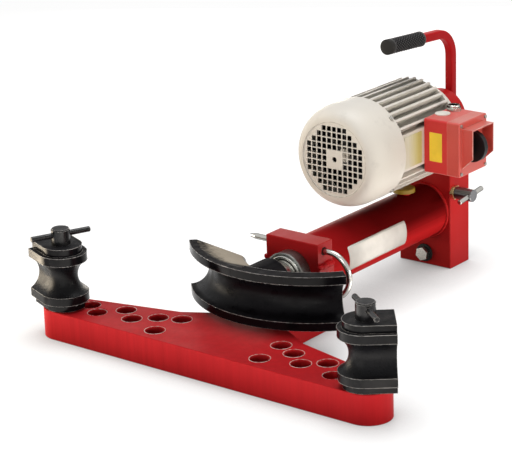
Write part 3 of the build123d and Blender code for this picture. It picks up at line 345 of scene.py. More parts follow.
def corner_shade_mask(s, amount):
    """Mask of painted shade in corners and narrow gaps."""
    near = s.node("ShaderNodeAmbientOcclusion", samples=8)
    near.inputs["Distance"].default_value = 0.014
    return s.ramp(near.outputs["AO"], 0.6, 0.15, 0.0, amount)


def paint(name, color, worn_and_lit, roughness, shine, edge_wear_and_light, edge_r=0.0016, grain=700.0, drift=0.16,
          side_shade=None, streaks=0.0, bloom=0.0, grime_and_shade=0.0):
    """Sprayed paint with slow drift, dirt, orange peel, and edges rubbed and lightened as a painted
    highlight.

    One side can get painted shade, streaks run upright, bloom is a chalky sheen, and corners and narrow gaps
    can get painted shade.
    """
    s = Shader(name, color, roughness, Specular_IOR_Level=shine, Sheen_Weight=bloom,
               Sheen_Roughness=0.4, Sheen_Tint=(1.0, 0.84, 0.74, 1.0))
    slow = s.ramp(s.noise(5.0, 3.0), 0.35, 0.7)
    col = s.mix(slow, color, scaled(color, 1 - drift))
    dirt = s.ramp(s.noise(38.0, 8.0, 0.65), 0.56, 0.8, 0.0, 0.3)
    col = s.mix(dirt, col, scaled(color, 0.6))
    # Painted shade on faces turned to one side
    if side_shade:
        col = s.mix(side_shade_mask(s, *side_shade), col, scaled(color, 0.1))
    # Painted shade in corners and narrow gaps
    if grime_and_shade:
        col = s.mix(corner_shade_mask(s, grime_and_shade), col, scaled(color, 0.06))
    if streaks:
        fine = s.ramp(s.noise(9.0, 6.0, 0.7, (9.0, 9.0, 0.4)), 0.35, 0.7, 0.0, streaks)
        col = s.mix(fine, col, scaled(color, 0.62))
    # Edges lighten as rubbed wear and as a painted highlight
    edge_breakup = s.ramp(s.noise(95.0, 6.0, 0.7), 0.36, 0.6)
    mask = s.math("MULTIPLY", s.edges(edge_r), s.math("MULTIPLY", edge_breakup, edge_wear_and_light))
    s.color(s.mix(mask, col, worn_and_lit))
    s.uneven_rough(22.0, 6.0, roughness - 0.06, roughness + 0.1)
    s.bump(s.noise(grain, 2.0), 0.1, 0.0004, 0.0012)
    return s.mat


def sloping(s, lift, height):
    """1 on faces of the former's upper half that slope a little."""
    steep = s.math("MULTIPLY", s.ramp(lift, 0.75, 0.85), s.ramp(lift, 0.985, 0.95))
    return s.math("MULTIPLY", steep, s.ramp(height, RAM_Z, RAM_Z + 0.01))


def slope_sheen_mask(s, place, sloped):
    """Mask of a painted sheen: 1 on the sloping back of the former, fading in dark streaks towards its rim.
    """
    x = place["X"]
    y = s.math("SUBTRACT", FORMER_Y, place["Y"])
    out = s.math("SQRT", s.math("ADD", s.math("MULTIPLY", x, x), s.math("MULTIPLY", y, y)))
    polar = s.node("ShaderNodeCombineXYZ")
    s.link(s.math("MULTIPLY", s.math("ARCTAN2", x, y), 30.0), polar.inputs["X"])
    s.link(s.math("MULTIPLY", out, 60.0), polar.inputs["Y"])
    streak = s.ramp(s.noise(1.6, 5.0, place=polar.outputs[0]), 0.3, 0.7, -0.014, 0.010)
    inner = FORMER_R - FORMER_TOP_W
    fade = s.ramp(s.math("ADD", out, streak), inner - 0.004, inner - 0.034)
    aside = s.ramp(s.math("ABSOLUTE", x), 0.042, 0.055)
    return s.math("MULTIPLY", s.math("MULTIPLY", sloped, aside), fade)


def casting(name, color, worn_and_lit, roughness, shine, grain, strength, edge_wear_and_light, slope_sheen=None, lips=None):
    """Black cast iron: rough skin with bright specks, rims rubbed bare and lightened as a painted highlight,
    duller on level faces.

    The slope colour is a painted sheen on the sloping back behind the former's rim. lips gives a groove's
    height, half its width and the roughness of the smoother lips beside it.
    """
    s = Shader(name, color, roughness, Specular_IOR_Level=shine)
    slow = s.ramp(s.noise(14.0, 5.0), 0.3, 0.72)
    col = s.mix(slow, color, scaled(color, 2.4))
    specks = s.ramp(s.noise(260.0, 6.0, 0.75), 0.6, 0.74, 0.0, 0.5)
    col = s.mix(specks, col, scaled(color, 4))
    # Edges lighten as rubbed wear and as a painted highlight
    edge_breakup = s.ramp(s.noise(120.0, 6.0, 0.7), 0.3, 0.56)
    mask = s.math("MULTIPLY", s.edges(0.0016, 0.03, 0.2), s.math("MULTIPLY", edge_breakup, edge_wear_and_light))
    col = s.mix(mask, col, worn_and_lit)
    lift = s.parts(s.normal())["Z"]
    place = s.parts(s.coord)
    dull = s.ramp(lift, 0.93, 0.985, 0.0, 0.34)
    skin = s.noise(grain, 6.0, 0.65)
    if slope_sheen:
        sloped = sloping(s, lift, place["Z"])
        col = s.mix(slope_sheen_mask(s, place, sloped), col, slope_sheen)
        dull = s.math("ADD", dull, s.math("MULTIPLY", sloped, 0.45))
    if lips:
        middle, half, smooth = lips
        off = s.math("ABSOLUTE", s.math("SUBTRACT", place["Z"], middle))
        upright = s.ramp(s.math("ABSOLUTE", lift), 0.2, 0.1)
        lip = s.math("MULTIPLY", upright, s.ramp(off, half - 0.001, half))
        dull = s.math("ADD", dull, s.math("MULTIPLY", lip, smooth - roughness))
        skin = s.math("MULTIPLY", skin, s.math("SUBTRACT", 1.0, s.math("MULTIPLY", lip, 0.8)))
    s.color(col)
    uneven = s.ramp(s.noise(60.0, 6.0), 0.3, 0.7, roughness - 0.1, roughness + 0.16)
    s.rough(s.math("ADD", uneven, dull))
    s.bump(skin, strength, 0.0008, 0.0015)
    return s.mat


def metal(name, color, roughness, lines=None, grime_and_shade=0.25, edge_tint=1.0):
    """Bare metal: brushed or turned lines, a little grime, and a tint of its grazing reflection."""
    s = Shader(name, color, roughness, 1.0, Specular_Tint=(edge_tint, edge_tint, edge_tint, 1.0))
    spots = s.ramp(s.noise(45.0, 7.0, 0.6), 0.45, 0.75, 0.0, grime_and_shade)
    s.color(s.mix(spots, color, scaled(color, 0.35)))
    fine = s.noise(400.0, 3.0, 0.6, lines)
    s.rough(s.ramp(fine, 0.3, 0.7, roughness - 0.06, roughness + 0.08))
    s.bump(fine, 0.06, 0.0002, 0.0006)
    return s.mat


def plastic(name, color, roughness, shine=0.3, grain=900.0, strength=0.1):
    """Moulded plastic with a fine spark texture."""
    s = Shader(name, color, roughness, Specular_IOR_Level=shine)
    slow = s.ramp(s.noise(30.0, 5.0), 0.3, 0.7)
    s.color(s.mix(slow, color, scaled(color, 0.82)))
    s.uneven_rough(70.0, 4.0, roughness - 0.05, roughness + 0.08)
    s.bump(s.noise(grain, 2.0), strength, 0.0003, 0.0008)
    return s.mat


def knurled_rubber(name, groove, ridge_highlight, cap, roughness, shine):
    """Black rubber whose knurl is dark in the grooves and paler on the ridges as a painted highlight, with a
    plain cap.
    """
    s = Shader(name, groove, roughness, Specular_IOR_Level=shine)
    from_end = s.vector("SUBTRACT", s.coord, GRIP_END)
    out = s.vector("LENGTH", s.vector("CROSS_PRODUCT", from_end, GRIP_WAY))
    worn_and_lit = s.ramp(out, GRIP_R - KNURL_DEPTH / 2, GRIP_R)
    along = s.vector("DOT_PRODUCT", from_end, GRIP_WAY)
    at_end = s.ramp(along, -GRIP_CAP - GRIP_CAP_BLEND, -GRIP_CAP)
    s.color(s.mix(at_end, s.mix(worn_and_lit, groove, ridge_highlight), cap))
    s.uneven_rough(70.0, 4.0, roughness - 0.05, roughness + 0.08)
    return s.mat


def tinted_sheet(name, front, rear, span):
    """Printed sheet whose tint changes along Y, with fine brushed lines."""
    s = Shader(name, front, 0.34, Specular_IOR_Level=0.4)
    col = s.mix(s.ramp(s.parts(s.coord)["Y"], *span), front, rear)
    lines = s.ramp(s.noise(60.0, 3.0, 0.6, (1.0, 30.0, 0.5)), 0.4, 0.7, 0.0, 0.35)
    s.color(s.mix(lines, col, scaled(rear, 0.7)))
    s.uneven_rough(70.0, 4.0, 0.30, 0.42)
    return s.mat


red = paint("red_paint", (0.47, 0.0075, 0.0105), (0.62, 0.10, 0.08),
            roughness=0.40, shine=0.08, edge_wear_and_light=0.6)
plate_red = paint("plate_paint", (0.50, 0.015, 0.0195), (0.60, 0.15, 0.12),
                  roughness=0.46, shine=0.05, edge_wear_and_light=0.5, grain=420.0, streaks=0.55)
# A darker copy of the red paint as painted shade on the head block
head_red_shaded = paint("head_paint_shaded", (0.40, 0.0065, 0.009), (0.62, 0.14, 0.11),
                 roughness=0.36, shine=0.10, edge_wear_and_light=0.6)
# Painted shade on the jacket's upper side, growing towards the rear where the motor shades it
tube_red = paint("tube_paint", (0.50, 0.014, 0.016), (0.6, 0.06, 0.06),
                 roughness=0.34, shine=0.004, edge_wear_and_light=0.3, side_shade=((0.6, 0, 0.8), 0.9, (0.27, 0.42)))
# A brighter copy of the red paint as painted light on the block's right faces, with painted shade on its
# front faces
block_red_lit = paint("block_paint_lit", (0.54, 0.014, 0.015), (0.62, 0.10, 0.08),
                  roughness=0.40, shine=0.08, edge_wear_and_light=0.6, side_shade=((0, -1, 0), 0.5, (0.0, 0.1)))
box_red = paint("box_paint", (0.62, 0.028, 0.026), (0.72, 0.20, 0.15),
                roughness=0.40, shine=0.3, edge_wear_and_light=0.5, grain=1000.0, bloom=0.6)
lid_red = paint("lid_paint", (0.58, 0.060, 0.042), (0.74, 0.26, 0.19),
                roughness=0.36, shine=0.6, edge_wear_and_light=0.5, grain=1000.0, bloom=0.6)
# Pale colour of the painted highlight lines on the hood's edges
lid_edge_highlight = paint("lid_edge_highlight", (0.80, 0.46, 0.40), (0.9, 0.7, 0.65),
                 roughness=0.40, shine=0.3, edge_wear_and_light=0.4)
# Pale colour of the painted highlight rims of the pin holes, partly rubbed wear
hole_rim_highlight = paint("hole_rim_highlight", (0.66, 0.50, 0.47), (0.8, 0.7, 0.66),
                 roughness=0.40, shine=0.4, edge_wear_and_light=0.4)
# Pale colour of cast edges: rubbed wear and a painted highlight
CAST_WORN_LIT = (0.45, 0.43, 0.41)
# The slope colour is a painted sheen on the former's sloping back
former_cast = casting("former_casting", (0.0018, 0.0016, 0.0021), CAST_WORN_LIT,
                      roughness=0.30, shine=0.065, grain=420.0, strength=0.24, edge_wear_and_light=0.9,
                      slope_sheen=(0.36, 0.315, 0.25), lips=(RAM_Z, GROOVE_R, 0.12))
roller_cast = casting("roller_casting", (0.0022, 0.0022, 0.0027), CAST_WORN_LIT,
                      roughness=0.25, shine=0.09, grain=420.0, strength=0.70, edge_wear_and_light=0.9,
                      lips=(ROLLER_Z, ROLLER_LIP_H, 0.14))
blacked = casting("blacked_steel", (0.004, 0.004, 0.0045), (0.60, 0.58, 0.56),
                  roughness=0.20, shine=0.25, grain=800.0, strength=0.12, edge_wear_and_light=1.0)
# The motor paint gets painted shade between its fins and in corners
silver = paint("motor_paint", (0.69, 0.655, 0.598), (0.86, 0.84, 0.78),
               roughness=0.42, shine=0.35, edge_wear_and_light=0.5, edge_r=0.0012, grain=1100.0, drift=0.08, grime_and_shade=0.42)
chrome = metal("bright_steel", (0.50, 0.49, 0.46), roughness=0.16, grime_and_shade=0.22, edge_tint=0.0)
steel = metal("bare_steel", (0.50, 0.48, 0.44), roughness=0.28, grime_and_shade=0.3, edge_tint=0.1)
neck_steel = metal("turned_steel", (0.20, 0.21, 0.20), roughness=0.28, lines=(1.0, 14.0, 1.0), grime_and_shade=0.15)
gland_steel = metal("gland_steel", (0.62, 0.62, 0.59), roughness=0.20, lines=(1.0, 14.0, 1.0), grime_and_shade=0.2)
# Darker colour of the painted shade line in the grille's step
step_shade_line = paint("step_shade_line", (0.46, 0.43, 0.37), (0.6, 0.56, 0.50),
                  roughness=0.6, shine=0.1, edge_wear_and_light=0.2)
# Pale lines of painted highlight along cast and steel edges, partly rubbed bare metal
edge_highlight_steel = casting("rubbed_edge_highlight", (0.17, 0.165, 0.16), (0.5, 0.5, 0.5),
                    roughness=0.34, shine=0.5, grain=300.0, strength=0.3, edge_wear_and_light=0.2)
spindle_steel = metal("spindle_steel", (0.20, 0.20, 0.205), roughness=0.24, lines=(14.0, 1.0, 1.0), grime_and_shade=0.4)
alu = metal("bare_aluminium", (0.72, 0.71, 0.68), roughness=0.40, lines=(1.0, 8.0, 1.0), grime_and_shade=0.2)
copper = metal("copper_wire", (0.62, 0.26, 0.13), roughness=0.34, grime_and_shade=0.3)
brass = metal("brass_nut", (0.66, 0.50, 0.26), roughness=0.26)
rubber = plastic("seal_rubber", (0.010, 0.010, 0.010), roughness=0.62, shine=0.2)
black_plastic = plastic("black_plastic", (0.007, 0.0066, 0.0075), roughness=0.40, shine=0.2)
grip_rubber = knurled_rubber("grip_rubber", (0.0015, 0.0015, 0.0019), (0.085, 0.082, 0.084),
                             (0.026, 0.025, 0.024), roughness=0.5, shine=0.08)
yellow = plastic("yellow_plastic", (0.28, 0.185, 0.018), roughness=0.36)
white = plastic("white_plastic", (0.78, 0.75, 0.68), roughness=0.38)
dull_steel = metal("dull_steel", (0.34, 0.31, 0.28), roughness=0.34, grime_and_shade=0.3)
plate_tint = tinted_sheet("plate_tint", (0.62, 0.61, 0.52), (0.50, 0.46, 0.17), PLATE_TINT_Y)
label_white = plastic("label_white", (0.90, 0.88, 0.84), roughness=0.34, grain=300.0, strength=0.02)
label_yellow = plastic("label_yellow", (0.95, 0.64, 0.05), roughness=0.36, grain=300.0, strength=0.02)

LOOKS = {
    "red_paint": red,
    "cast_black": roller_cast,
    "black_steel": blacked,
    "bright_steel": chrome,
    "bare_steel": steel,
    "bare_aluminium": alu,
    "motor_paint": silver,
    "copper": copper,
    "brass": brass,
    "rubber": rubber,
    "black_plastic": black_plastic,
    "yellow_plastic": yellow,
    "white_plastic": white,
}
OWN_LOOKS = {
    "wing_plate": plate_red,
    "head_block": head_red_shaded,
    "former": former_cast,
    "cylinder_barrel": neck_steel,
    "gland_nut": gland_steel,
    "reservoir_tube": tube_red,
    "pump_block": block_red_lit,
    "release_spindle": spindle_steel,
    "drain_washer": rubber,
    "rating_plate": plate_tint,
    "switch_base": box_red,
    "switch_lid": lid_red,
    "lid_screws": dull_steel,
}
slot_of = {entry["node"]: entry["material_slot"] for entry in frame["record"]["subparts"]}
for name, obj in nodes.items():
    obj.data.materials.clear()
    obj.data.materials.append(OWN_LOOKS.get(name, LOOKS[slot_of[name]]))


def mesh_object(name, bm, mat, body, smooth=True):
    """Turn a finished bmesh into a piece that rides on a body."""
    bmesh.ops.recalc_face_normals(bm, faces=bm.faces)
    mesh = bpy.data.meshes.new(name)
    bm.normal_update()
    bm.to_mesh(mesh)
    bm.free()
    for poly in mesh.polygons:
        poly.use_smooth = smooth
    obj = bpy.data.objects.new(name, mesh)
    scene.collection.objects.link(obj)
    mesh.materials.append(mat)
    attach(obj, body)
    return obj


def bridge(bm, rings):
    """Faces between each closed ring of vertices and the next."""
    for r0, r1 in zip(rings, rings[1:]):
        for j in range(len(r0)):
            n = (j + 1) % len(r0)
            bm.faces.new((r0[j], r0[n], r1[n], r1[j]))


def tube_along(bm, points, radii, sides):
    """Closed tube through points, with one radius at each."""
    rings = []
    for k, p in enumerate(points):
        before = points[max(0, k - 1)]
        after = points[min(len(points) - 1, k + 1)]
        way = (after - before).normalized()
        side = way.cross(AXIS_Z)
        if side.length < TINY:
            side = way.cross(AXIS_X)
        side.normalize()
        over = side.cross(way)
        ring = []
        for j in range(sides):
            turn = 2 * math.pi * j / sides
            out = side * math.cos(turn) + over * math.sin(turn)
            ring.append(bm.verts.new(p + out * radii[k]))
        rings.append(ring)
    bridge(bm, rings)
    bm.faces.new(rings[0])
    bm.faces.new(tuple(reversed(rings[-1])))


def arc(centre, radius, u, v, start=0.0, stop=360.0, steps=48):
    """Points along an arc in the plane of u and v, with angles from u towards v."""
    points = []
    for k in range(steps + 1):
        a = math.radians(start + (stop - start) * k / steps)
        points.append(centre + u * (radius * math.cos(a)) + v * (radius * math.sin(a)))
    return points


def weld_bead(name, points, radius, mat, seed):
    """Weld bead along a path: overlapping ripples of slightly different size."""
    rng = random.Random(seed)
    line = []
    for a, b in zip(points, points[1:]):
        count = max(2, int((b - a).length / (radius * BEAD_STEP)))
        line += [a.lerp(b, k / count) for k in range(count)]
    line.append(points[-1])
    radii = []
    for k in range(len(line)):
        ripple = BEAD_RIPPLE * math.cos(2 * math.pi * k / BEAD_PERIOD)
        radii.append(radius * (1.0 + ripple + rng.uniform(-BEAD_RIPPLE, BEAD_RIPPLE)))
    radii[0] *= BEAD_TAPER
    radii[-1] *= BEAD_TAPER
    bm = bmesh.new()
    tube_along(bm, line, radii, BEAD_SIDES)
    mesh_object(name, bm, mat, "machine")


def jacket_weld(name, y, out, mat, seed):
    points = arc(Vector((0, y, RAM_Z)), TUBE_R + out, AXIS_X, AXIS_Z,
                 JACKET_WELD_START, JACKET_WELD_STOP, JACKET_WELD_STEPS)
    weld_bead(name, points, JACKET_WELD_R, mat, seed)


# Weld beads: both sides of the head block, its foot and the jacket's two ends
for side, sign in SIDES:
    x = sign * (HEAD_X + HEAD_WELD_OUT)
    z = SADDLE_Z - HEAD_WELD_DROP
    path = [Vector((x, HEAD_Y[0] - HEAD_WELD_LEAD, z)), Vector((x, HEAD_Y[1], z))]
    weld_bead(f"head_weld_{side}", path, HEAD_WELD_R, red, 3 + sign)
    path = [Vector((sign * FOOT_WELD_X, y, PLATE_T)) for y in HEAD_Y]
    weld_bead(f"foot_weld_{side}", path, FOOT_WELD_R, red, 7 + sign)
jacket_weld("jacket_weld_rear", BLOCK_Y - JACKET_WELD_OFF, JACKET_WELD_OUT_REAR, block_red_lit, 11)
jacket_weld("jacket_weld_front", HEAD_Y[1] + JACKET_WELD_OFF, JACKET_WELD_OUT_FRONT, tube_red, 13)


def rounded_outline(width, height, corner):
    """Points of a rectangle with rounded corners, round its middle."""
    outline = []
    for su, sv, start in ((1, 1, 0), (-1, 1, 90), (-1, -1, 180), (1, -1, 270)):
        for k in range(CORNER_STEPS + 1):
            a = math.radians(start + 90 * k / CORNER_STEPS)
            outline.append((su * (width / 2 - corner) + corner * math.cos(a),
                            sv * (height / 2 - corner) + corner * math.sin(a)))
    return outline


def outline_span(outline, w):
    """Lowest and highest Y of an outline at one place across it."""
    near = 1e-9
    ys = []
    for (ya, wa), (yb, wb) in zip(outline, outline[1:] + outline[:1]):
        if min(wa, wb) - near <= w <= max(wa, wb) + near:
            if abs(wb - wa) < near:
                ys += [ya, yb]
            else:
                ys.append(ya + (yb - ya) * (w - wa) / (wb - wa))
    return min(ys), max(ys)


def jacket_label():
    """Bare label bent round the oil jacket, with rounded corners."""
    bm = bmesh.new()
    y0, y1 = JACKET_LABEL_Y
    start = math.radians(JACKET_LABEL_ARC[0])
    width = math.radians(JACKET_LABEL_ARC[1] - JACKET_LABEL_ARC[0]) * TUBE_R
    flat = rounded_outline(y1 - y0, width, JACKET_LABEL_CORNER)
    outline = [((y0 + y1) / 2 + y, width / 2 + w) for y, w in flat]
    even = {width * k / LABEL_STEPS for k in range(LABEL_STEPS + 1)}
    cols = sorted({round(w, 7) for _, w in outline} | even)
    layers = []
    for r in (TUBE_R, TUBE_R + LABEL_T):
        rows = []
        for w in cols:
            a = start + w / TUBE_R
            x = r * math.cos(a)
            z = RAM_Z + r * math.sin(a)
            rows.append([bm.verts.new((x, y, z)) for y in outline_span(outline, w)])
        layers.append(rows)
    for k in range(len(cols) - 1):
        low, high = ((rows[k][0], rows[k][1], rows[k + 1][1], rows[k + 1][0]) for rows in layers)
        bm.faces.new(low)
        bm.faces.new(high)
        bm.faces.new((low[0], high[0], high[3], low[3]))
        bm.faces.new((low[1], low[2], high[2], high[1]))
    for k in (0, len(cols) - 1):
        bm.faces.new((layers[0][k][0], layers[0][k][1], layers[1][k][1], layers[1][k][0]))
    mesh_object("jacket_label", bm, label_white, "machine")


def box_label():
    """Bare label on the front of the switch box, with rounded corners."""
    bm = bmesh.new()
    outline = rounded_outline(*BOX_LABEL_SIZE, BOX_LABEL_CORNER)
    rings = []
    for depth, inset in ((0.0, 1.0), (LABEL_T * LABEL_EDGE, 1.0), (LABEL_T, LABEL_INSET)):
        middle = BOX_LABEL_PLACE - AXIS_Y * depth
        rings.append([bm.verts.new(middle + AXIS_X * a * inset + AXIS_Z * b * inset) for a, b in outline])
    bridge(bm, rings)
    bm.faces.new(rings[0])
    bm.faces.new(rings[-1])
    mesh_object("box_label", bm, label_yellow, "machine", False)


jacket_label()
box_label()


def painted_edge_line(name, points, radius, body, seed, mat=edge_highlight_steel):
    """Thin line of uneven thickness along an edge: each use paints a highlight, a shade line or rubbed wear
    on it.
    """
    rng = random.Random(seed)
    radii = [radius * rng.uniform(*EDGE_LINE_RANGE) for _ in points]
    bm = bmesh.new()
    tube_along(bm, points, radii, EDGE_LINE_SIDES)
    mesh_object(name, bm, mat, body)


# Edges of the former, rubbed bare and given lines of painted highlight
for name, r, z, start in (("rim_outer", FORMER_R, FORMER_HALF_H, FORMER_HALF_DEG),
                          ("rim_land", FORMER_R - FORMER_LAND_W, FORMER_HALF_H, FORMER_LAND_DEG),
                          ("rim_groove", FORMER_R, GROOVE_R, FORMER_HALF_DEG),
                          ("rim_low", FORMER_R, -GROOVE_R, FORMER_HALF_DEG)):
    line = arc(Vector((0, FORMER_Y, RAM_Z + z)), r, -AXIS_Y, AXIS_X,
               -start, FORMER_HALF_DEG, FORMER_LINE_STEPS)
    painted_edge_line(f"former_{name}", line, FORMER_LINE_R, "former", 31)

# Edges of the rollers and the pin tops, rubbed bare and given lines of painted highlight
for side, sign in SIDES:
    turn = math.radians(ROLLER_TURNS[side])
    back = Vector((math.cos(turn), math.sin(turn), 0))
    along = Vector((-math.sin(turn), math.cos(turn), 0))
    middle = Vector((sign * PIN_X, PIN_Y, 0)) - back * ROLLER_OFFSET
    for k, (r, rise) in enumerate(ROLLER_EDGES):
        for level, lift in (("low", -1), ("top", 1)):
            if r == ROLLER_DISC_R and level == "low":
                continue
            centre = middle + AXIS_Z * (ROLLER_Z + lift * rise)
            first, last = (centre + back * ROLLER_BACK + along * reach for reach in (r, -r))
            loop = [first, *arc(centre, r, along, -back, 0, 180, ROLLER_LINE_STEPS), last]
            painted_edge_line(f"roller_rim_{side}_{level}_{k}", loop, ROLLER_LINE_R, f"roller_{side}", 40 + k)
    ring = arc(Vector((sign * PIN_X, PIN_Y, PIN_TOP - PIN_RIM_DROP)), PIN_RIM_R, AXIS_X, AXIS_Y)
    painted_edge_line(f"pin_rim_{side}", ring, PIN_LINE_R, f"pin_{side}", 60)

# Pale lines of painted highlight on the rims of the spare pin holes, which are also rubbed, and on the bright
# front edge of the cylinder neck
for spot in frame["record"]["physics"]["openings"]:
    if spot["name"].startswith("pin_hole"):
        low, high = (Vector(corner) for corner in spot["box_m"])
        middle = (low + high) / 2
        from_pin = math.hypot(abs(middle.x) - PIN_X, middle.y - PIN_Y)
        sunk = HOLE_RIM_SINK if from_pin < ROLLER_SWEEP else 0.0
        ring = arc(Vector((middle.x, middle.y, PLATE_T - sunk)), HOLE_RIM_R - sunk, AXIS_X, AXIS_Y)
        painted_edge_line(f"rim_of_{spot['name']}", ring, HOLE_RIM_T, "machine", 70, hole_rim_highlight)
ring = arc(Vector((0, NECK_Y, RAM_Z)), NECK_R, AXIS_X, AXIS_Z, steps=RING_STEPS)
painted_edge_line("neck_edge", ring, NECK_LINE_R, "machine", 81)

# Painted shadow: dark ring in the mouth of the locking pin's hole
ring = arc(Vector((HEAD_X - LOCK_RING_T, LOCK_PIN_Y, LOCK_PIN_Z)), LOCK_RING_R, AXIS_Y, AXIS_Z,
           steps=LOCK_RING_STEPS)
painted_edge_line("lock_hole_shadow", ring, LOCK_RING_T, "machine", 95, rubber)

# Painted highlight along the edges of the guard hood: its front and the outer edge of its top
hood_corners = [Vector((x, HOOD_Y, z)) for x, z in HOOD_EDGE]
hood_corners.append(Vector((HOOD_EDGE[-1][0], HOOD_REAR_Y, HOOD_EDGE[-1][1])))
for k, (start, stop) in enumerate(zip(hood_corners, hood_corners[1:])):
    line = [start.lerp(stop, j / HOOD_LINE_STEPS) for j in range(HOOD_LINE_STEPS + 1)]
    painted_edge_line(f"hood_edge_{k}", line, HOOD_LINE_R, "machine", 90 + k, lid_edge_highlight)

# Painted shade line in the step round the fan grille
ring = arc(Vector((0, COWL_Y + COWL_RING_IN, MOTOR_Z)), COWL_RING_R, AXIS_X, AXIS_Z, steps=RING_STEPS)
painted_edge_line("grille_ring", ring, COWL_LINE_R, "machine", 85, step_shade_line)


def knurl_cut(station, turn):
    """Depth of the diamond grooves at a station along the grip and a turn round it."""
    first, last = KNURL_SPAN
    inside = min(station - first, last - station) + KNURL_RUN_OUT
    lean = math.pi * station / KNURL_PITCH
    waves = [abs(math.sin(KNURL_STARTS * turn + way * lean)) for way in (1, -1)]
    return KNURL_DEPTH * min(1.0, inside / KNURL_FADE) * (1 - min(waves) ** KNURL_SHARPNESS)


def knurled_grip():
    """Handle grip: diamond knurl between two smooth collars, and a plain cap on the end."""
    bm = bmesh.new()
    over = GRIP_WAY.cross(AXIS_X)
    length = KNURL_SPAN[1] - KNURL_SPAN[0]
    stations = [(t, r, False) for t, r in GRIP_REAR]
    stations += [(KNURL_SPAN[0] + length * k / KNURL_STEPS, GRIP_R, True) for k in range(KNURL_STEPS + 1)]
    stations += [(t, r, False) for t, r in GRIP_FRONT]
    rings = []
    for t, r, knurled in stations:
        centre = GRIP_END + GRIP_WAY * (t - GRIP_LEN)
        ring = []
        for j in range(GRIP_SIDES):
            a = 2 * math.pi * j / GRIP_SIDES
            out = AXIS_X * math.cos(a) + over * math.sin(a)
            cut = knurl_cut(t, a) if knurled else 0.0
            ring.append(bm.verts.new(centre + out * (r - cut)))
        rings.append(ring)
    bridge(bm, rings)
    tip = bm.verts.new(GRIP_END - GRIP_WAY * GRIP_DISH)
    for j in range(GRIP_SIDES):
        bm.faces.new((rings[-1][j], rings[-1][(j + 1) % GRIP_SIDES], tip))
    grip = mesh_object("knurled_grip", bm, grip_rubber, "machine")
    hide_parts("handle_grip")


knurled_grip()


def photo_camera():
    """Camera as in the photograph."""
    level = math.cos(CAMERA_ELEVATION)
    right = Vector((math.cos(CAMERA_AZIMUTH), math.sin(CAMERA_AZIMUTH), 0))
    back = Vector((math.sin(CAMERA_AZIMUTH) * level, -math.cos(CAMERA_AZIMUTH) * level,
                   math.sin(CAMERA_ELEVATION)))
    up = back.cross(right)
    cam_x = right * math.cos(CAMERA_ROLL) + up * math.sin(CAMERA_ROLL)
    cam_y = up * math.cos(CAMERA_ROLL) - right * math.sin(CAMERA_ROLL)
    data = bpy.data.cameras.new("camera")
    data.sensor_fit = "HORIZONTAL"
    data.sensor_width = CAMERA_SENSOR_MM
    data.lens = CAMERA_SENSOR_MM * CAMERA_FOCAL_PX / IMAGE_WIDTH_PX
    data.clip_end = CAMERA_CLIP_END
    cam = bpy.data.objects.new("camera", data)
    scene.collection.objects.link(cam)
    turned = Matrix((cam_x, cam_y, back)).transposed()
    cam.matrix_world = Matrix.Translation(CAMERA_PLACE) @ turned.to_4x4()
    scene.camera = cam


photo_camera()


def place_light(data, place, aim):
    obj = bpy.data.objects.new(data.name, data)
    obj.location = place
    obj.rotation_mode = "QUATERNION"
    obj.rotation_quaternion = (Vector(aim) - Vector(place)).to_track_quat("-Z", "Y")
    obj.visible_camera = False
    scene.collection.objects.link(obj)


def area_light(name, place, aim, size, watts, color):
    data = bpy.data.lights.new(name, "AREA")
    data.shape = "RECTANGLE"
    data.size, data.size_y = size
    data.energy = watts
    data.color = color
    place_light(data, place, aim)


def motor_spot():
    """Soft spot from the front on the motor end."""
    data = bpy.data.lights.new("motor_front", "SPOT")
    data.energy = SPOT_WATTS
    data.color = SPOT_COLOR
    data.spot_size = SPOT_ANGLE
    data.spot_blend = SPOT_BLEND
    data.shadow_soft_size = SPOT_R
    place_light(data, SPOT_PLACE, SPOT_AIM)


# Name, place, aim, size, watts and colour
AREA_LIGHTS = (
    ("front", (0.30, -0.80, 0.22), (0.05, 0.15, 0.10), (1.0, 0.2), 3.2, (1.0, 0.96, 0.91)),
    ("floor_front", (0.10, -0.28, 0.003), (0.10, -0.28, 1.0), (1.1, 0.34), 3.2, (1.0, 0.95, 0.88)),
    ("floor_end", (0.55, -0.04, 0.003), (0.55, -0.04, 1.0), (0.3, 0.3), 0.55, (1.0, 0.94, 0.86)),
    ("floor_near", (0.24, 0.44, 0.003), (0.24, 0.44, 1.0), (0.16, 0.45), 0.6, (1.0, 0.94, 0.86)),
    ("side", (2.0, 0.70, 0.35), (0.12, 0.55, 0.24), (1.2, 0.4), 22, (1.0, 0.94, 0.86)),
    ("left", (-2.0, -0.45, 0.40), (-0.2, 0.05, 0.10), (0.9, 0.6), 14, (1.0, 0.88, 0.70)),
    ("left_bounce", (-0.62, -0.12, 0.012), (-0.31, 0.0, 0.12), (0.2, 0.45), 3.2, (1.0, 0.84, 0.62)),
    ("rear_rim", (-1.4, 2.2, 0.22), (-0.1, 0.1, 0.12), (1.2, 0.4), 8, (1.0, 0.90, 0.76)),
    ("top", (-0.2, 0.5, 2.3), (0, 0.3, 0.1), (1.4, 1.0), 39, (1, 1, 1)),
)
for light in AREA_LIGHTS:
    area_light(*light)
motor_spot()
scene.view_settings.view_transform = "Standard"


def add_node(tree, kind, **values):
    """New node with plain values on its named sockets."""
    n = tree.nodes.new(kind)
    for key, value in values.items():
        n.inputs[key].default_value = value
    return n


def seen_rays(tree):
    """1 for rays that the camera sees directly, in a reflection or through a clear piece."""
    path = add_node(tree, "ShaderNodeLightPath")
    value = path.outputs["Is Camera Ray"]
    for kind in ("Is Glossy Ray", "Is Transmission Ray"):
        most = add_node(tree, "ShaderNodeMath")
        most.operation = "MAXIMUM"
        tree.links.new(value, most.inputs[0])
        tree.links.new(path.outputs[kind], most.inputs[1])
        value = most.outputs[0]
    return value


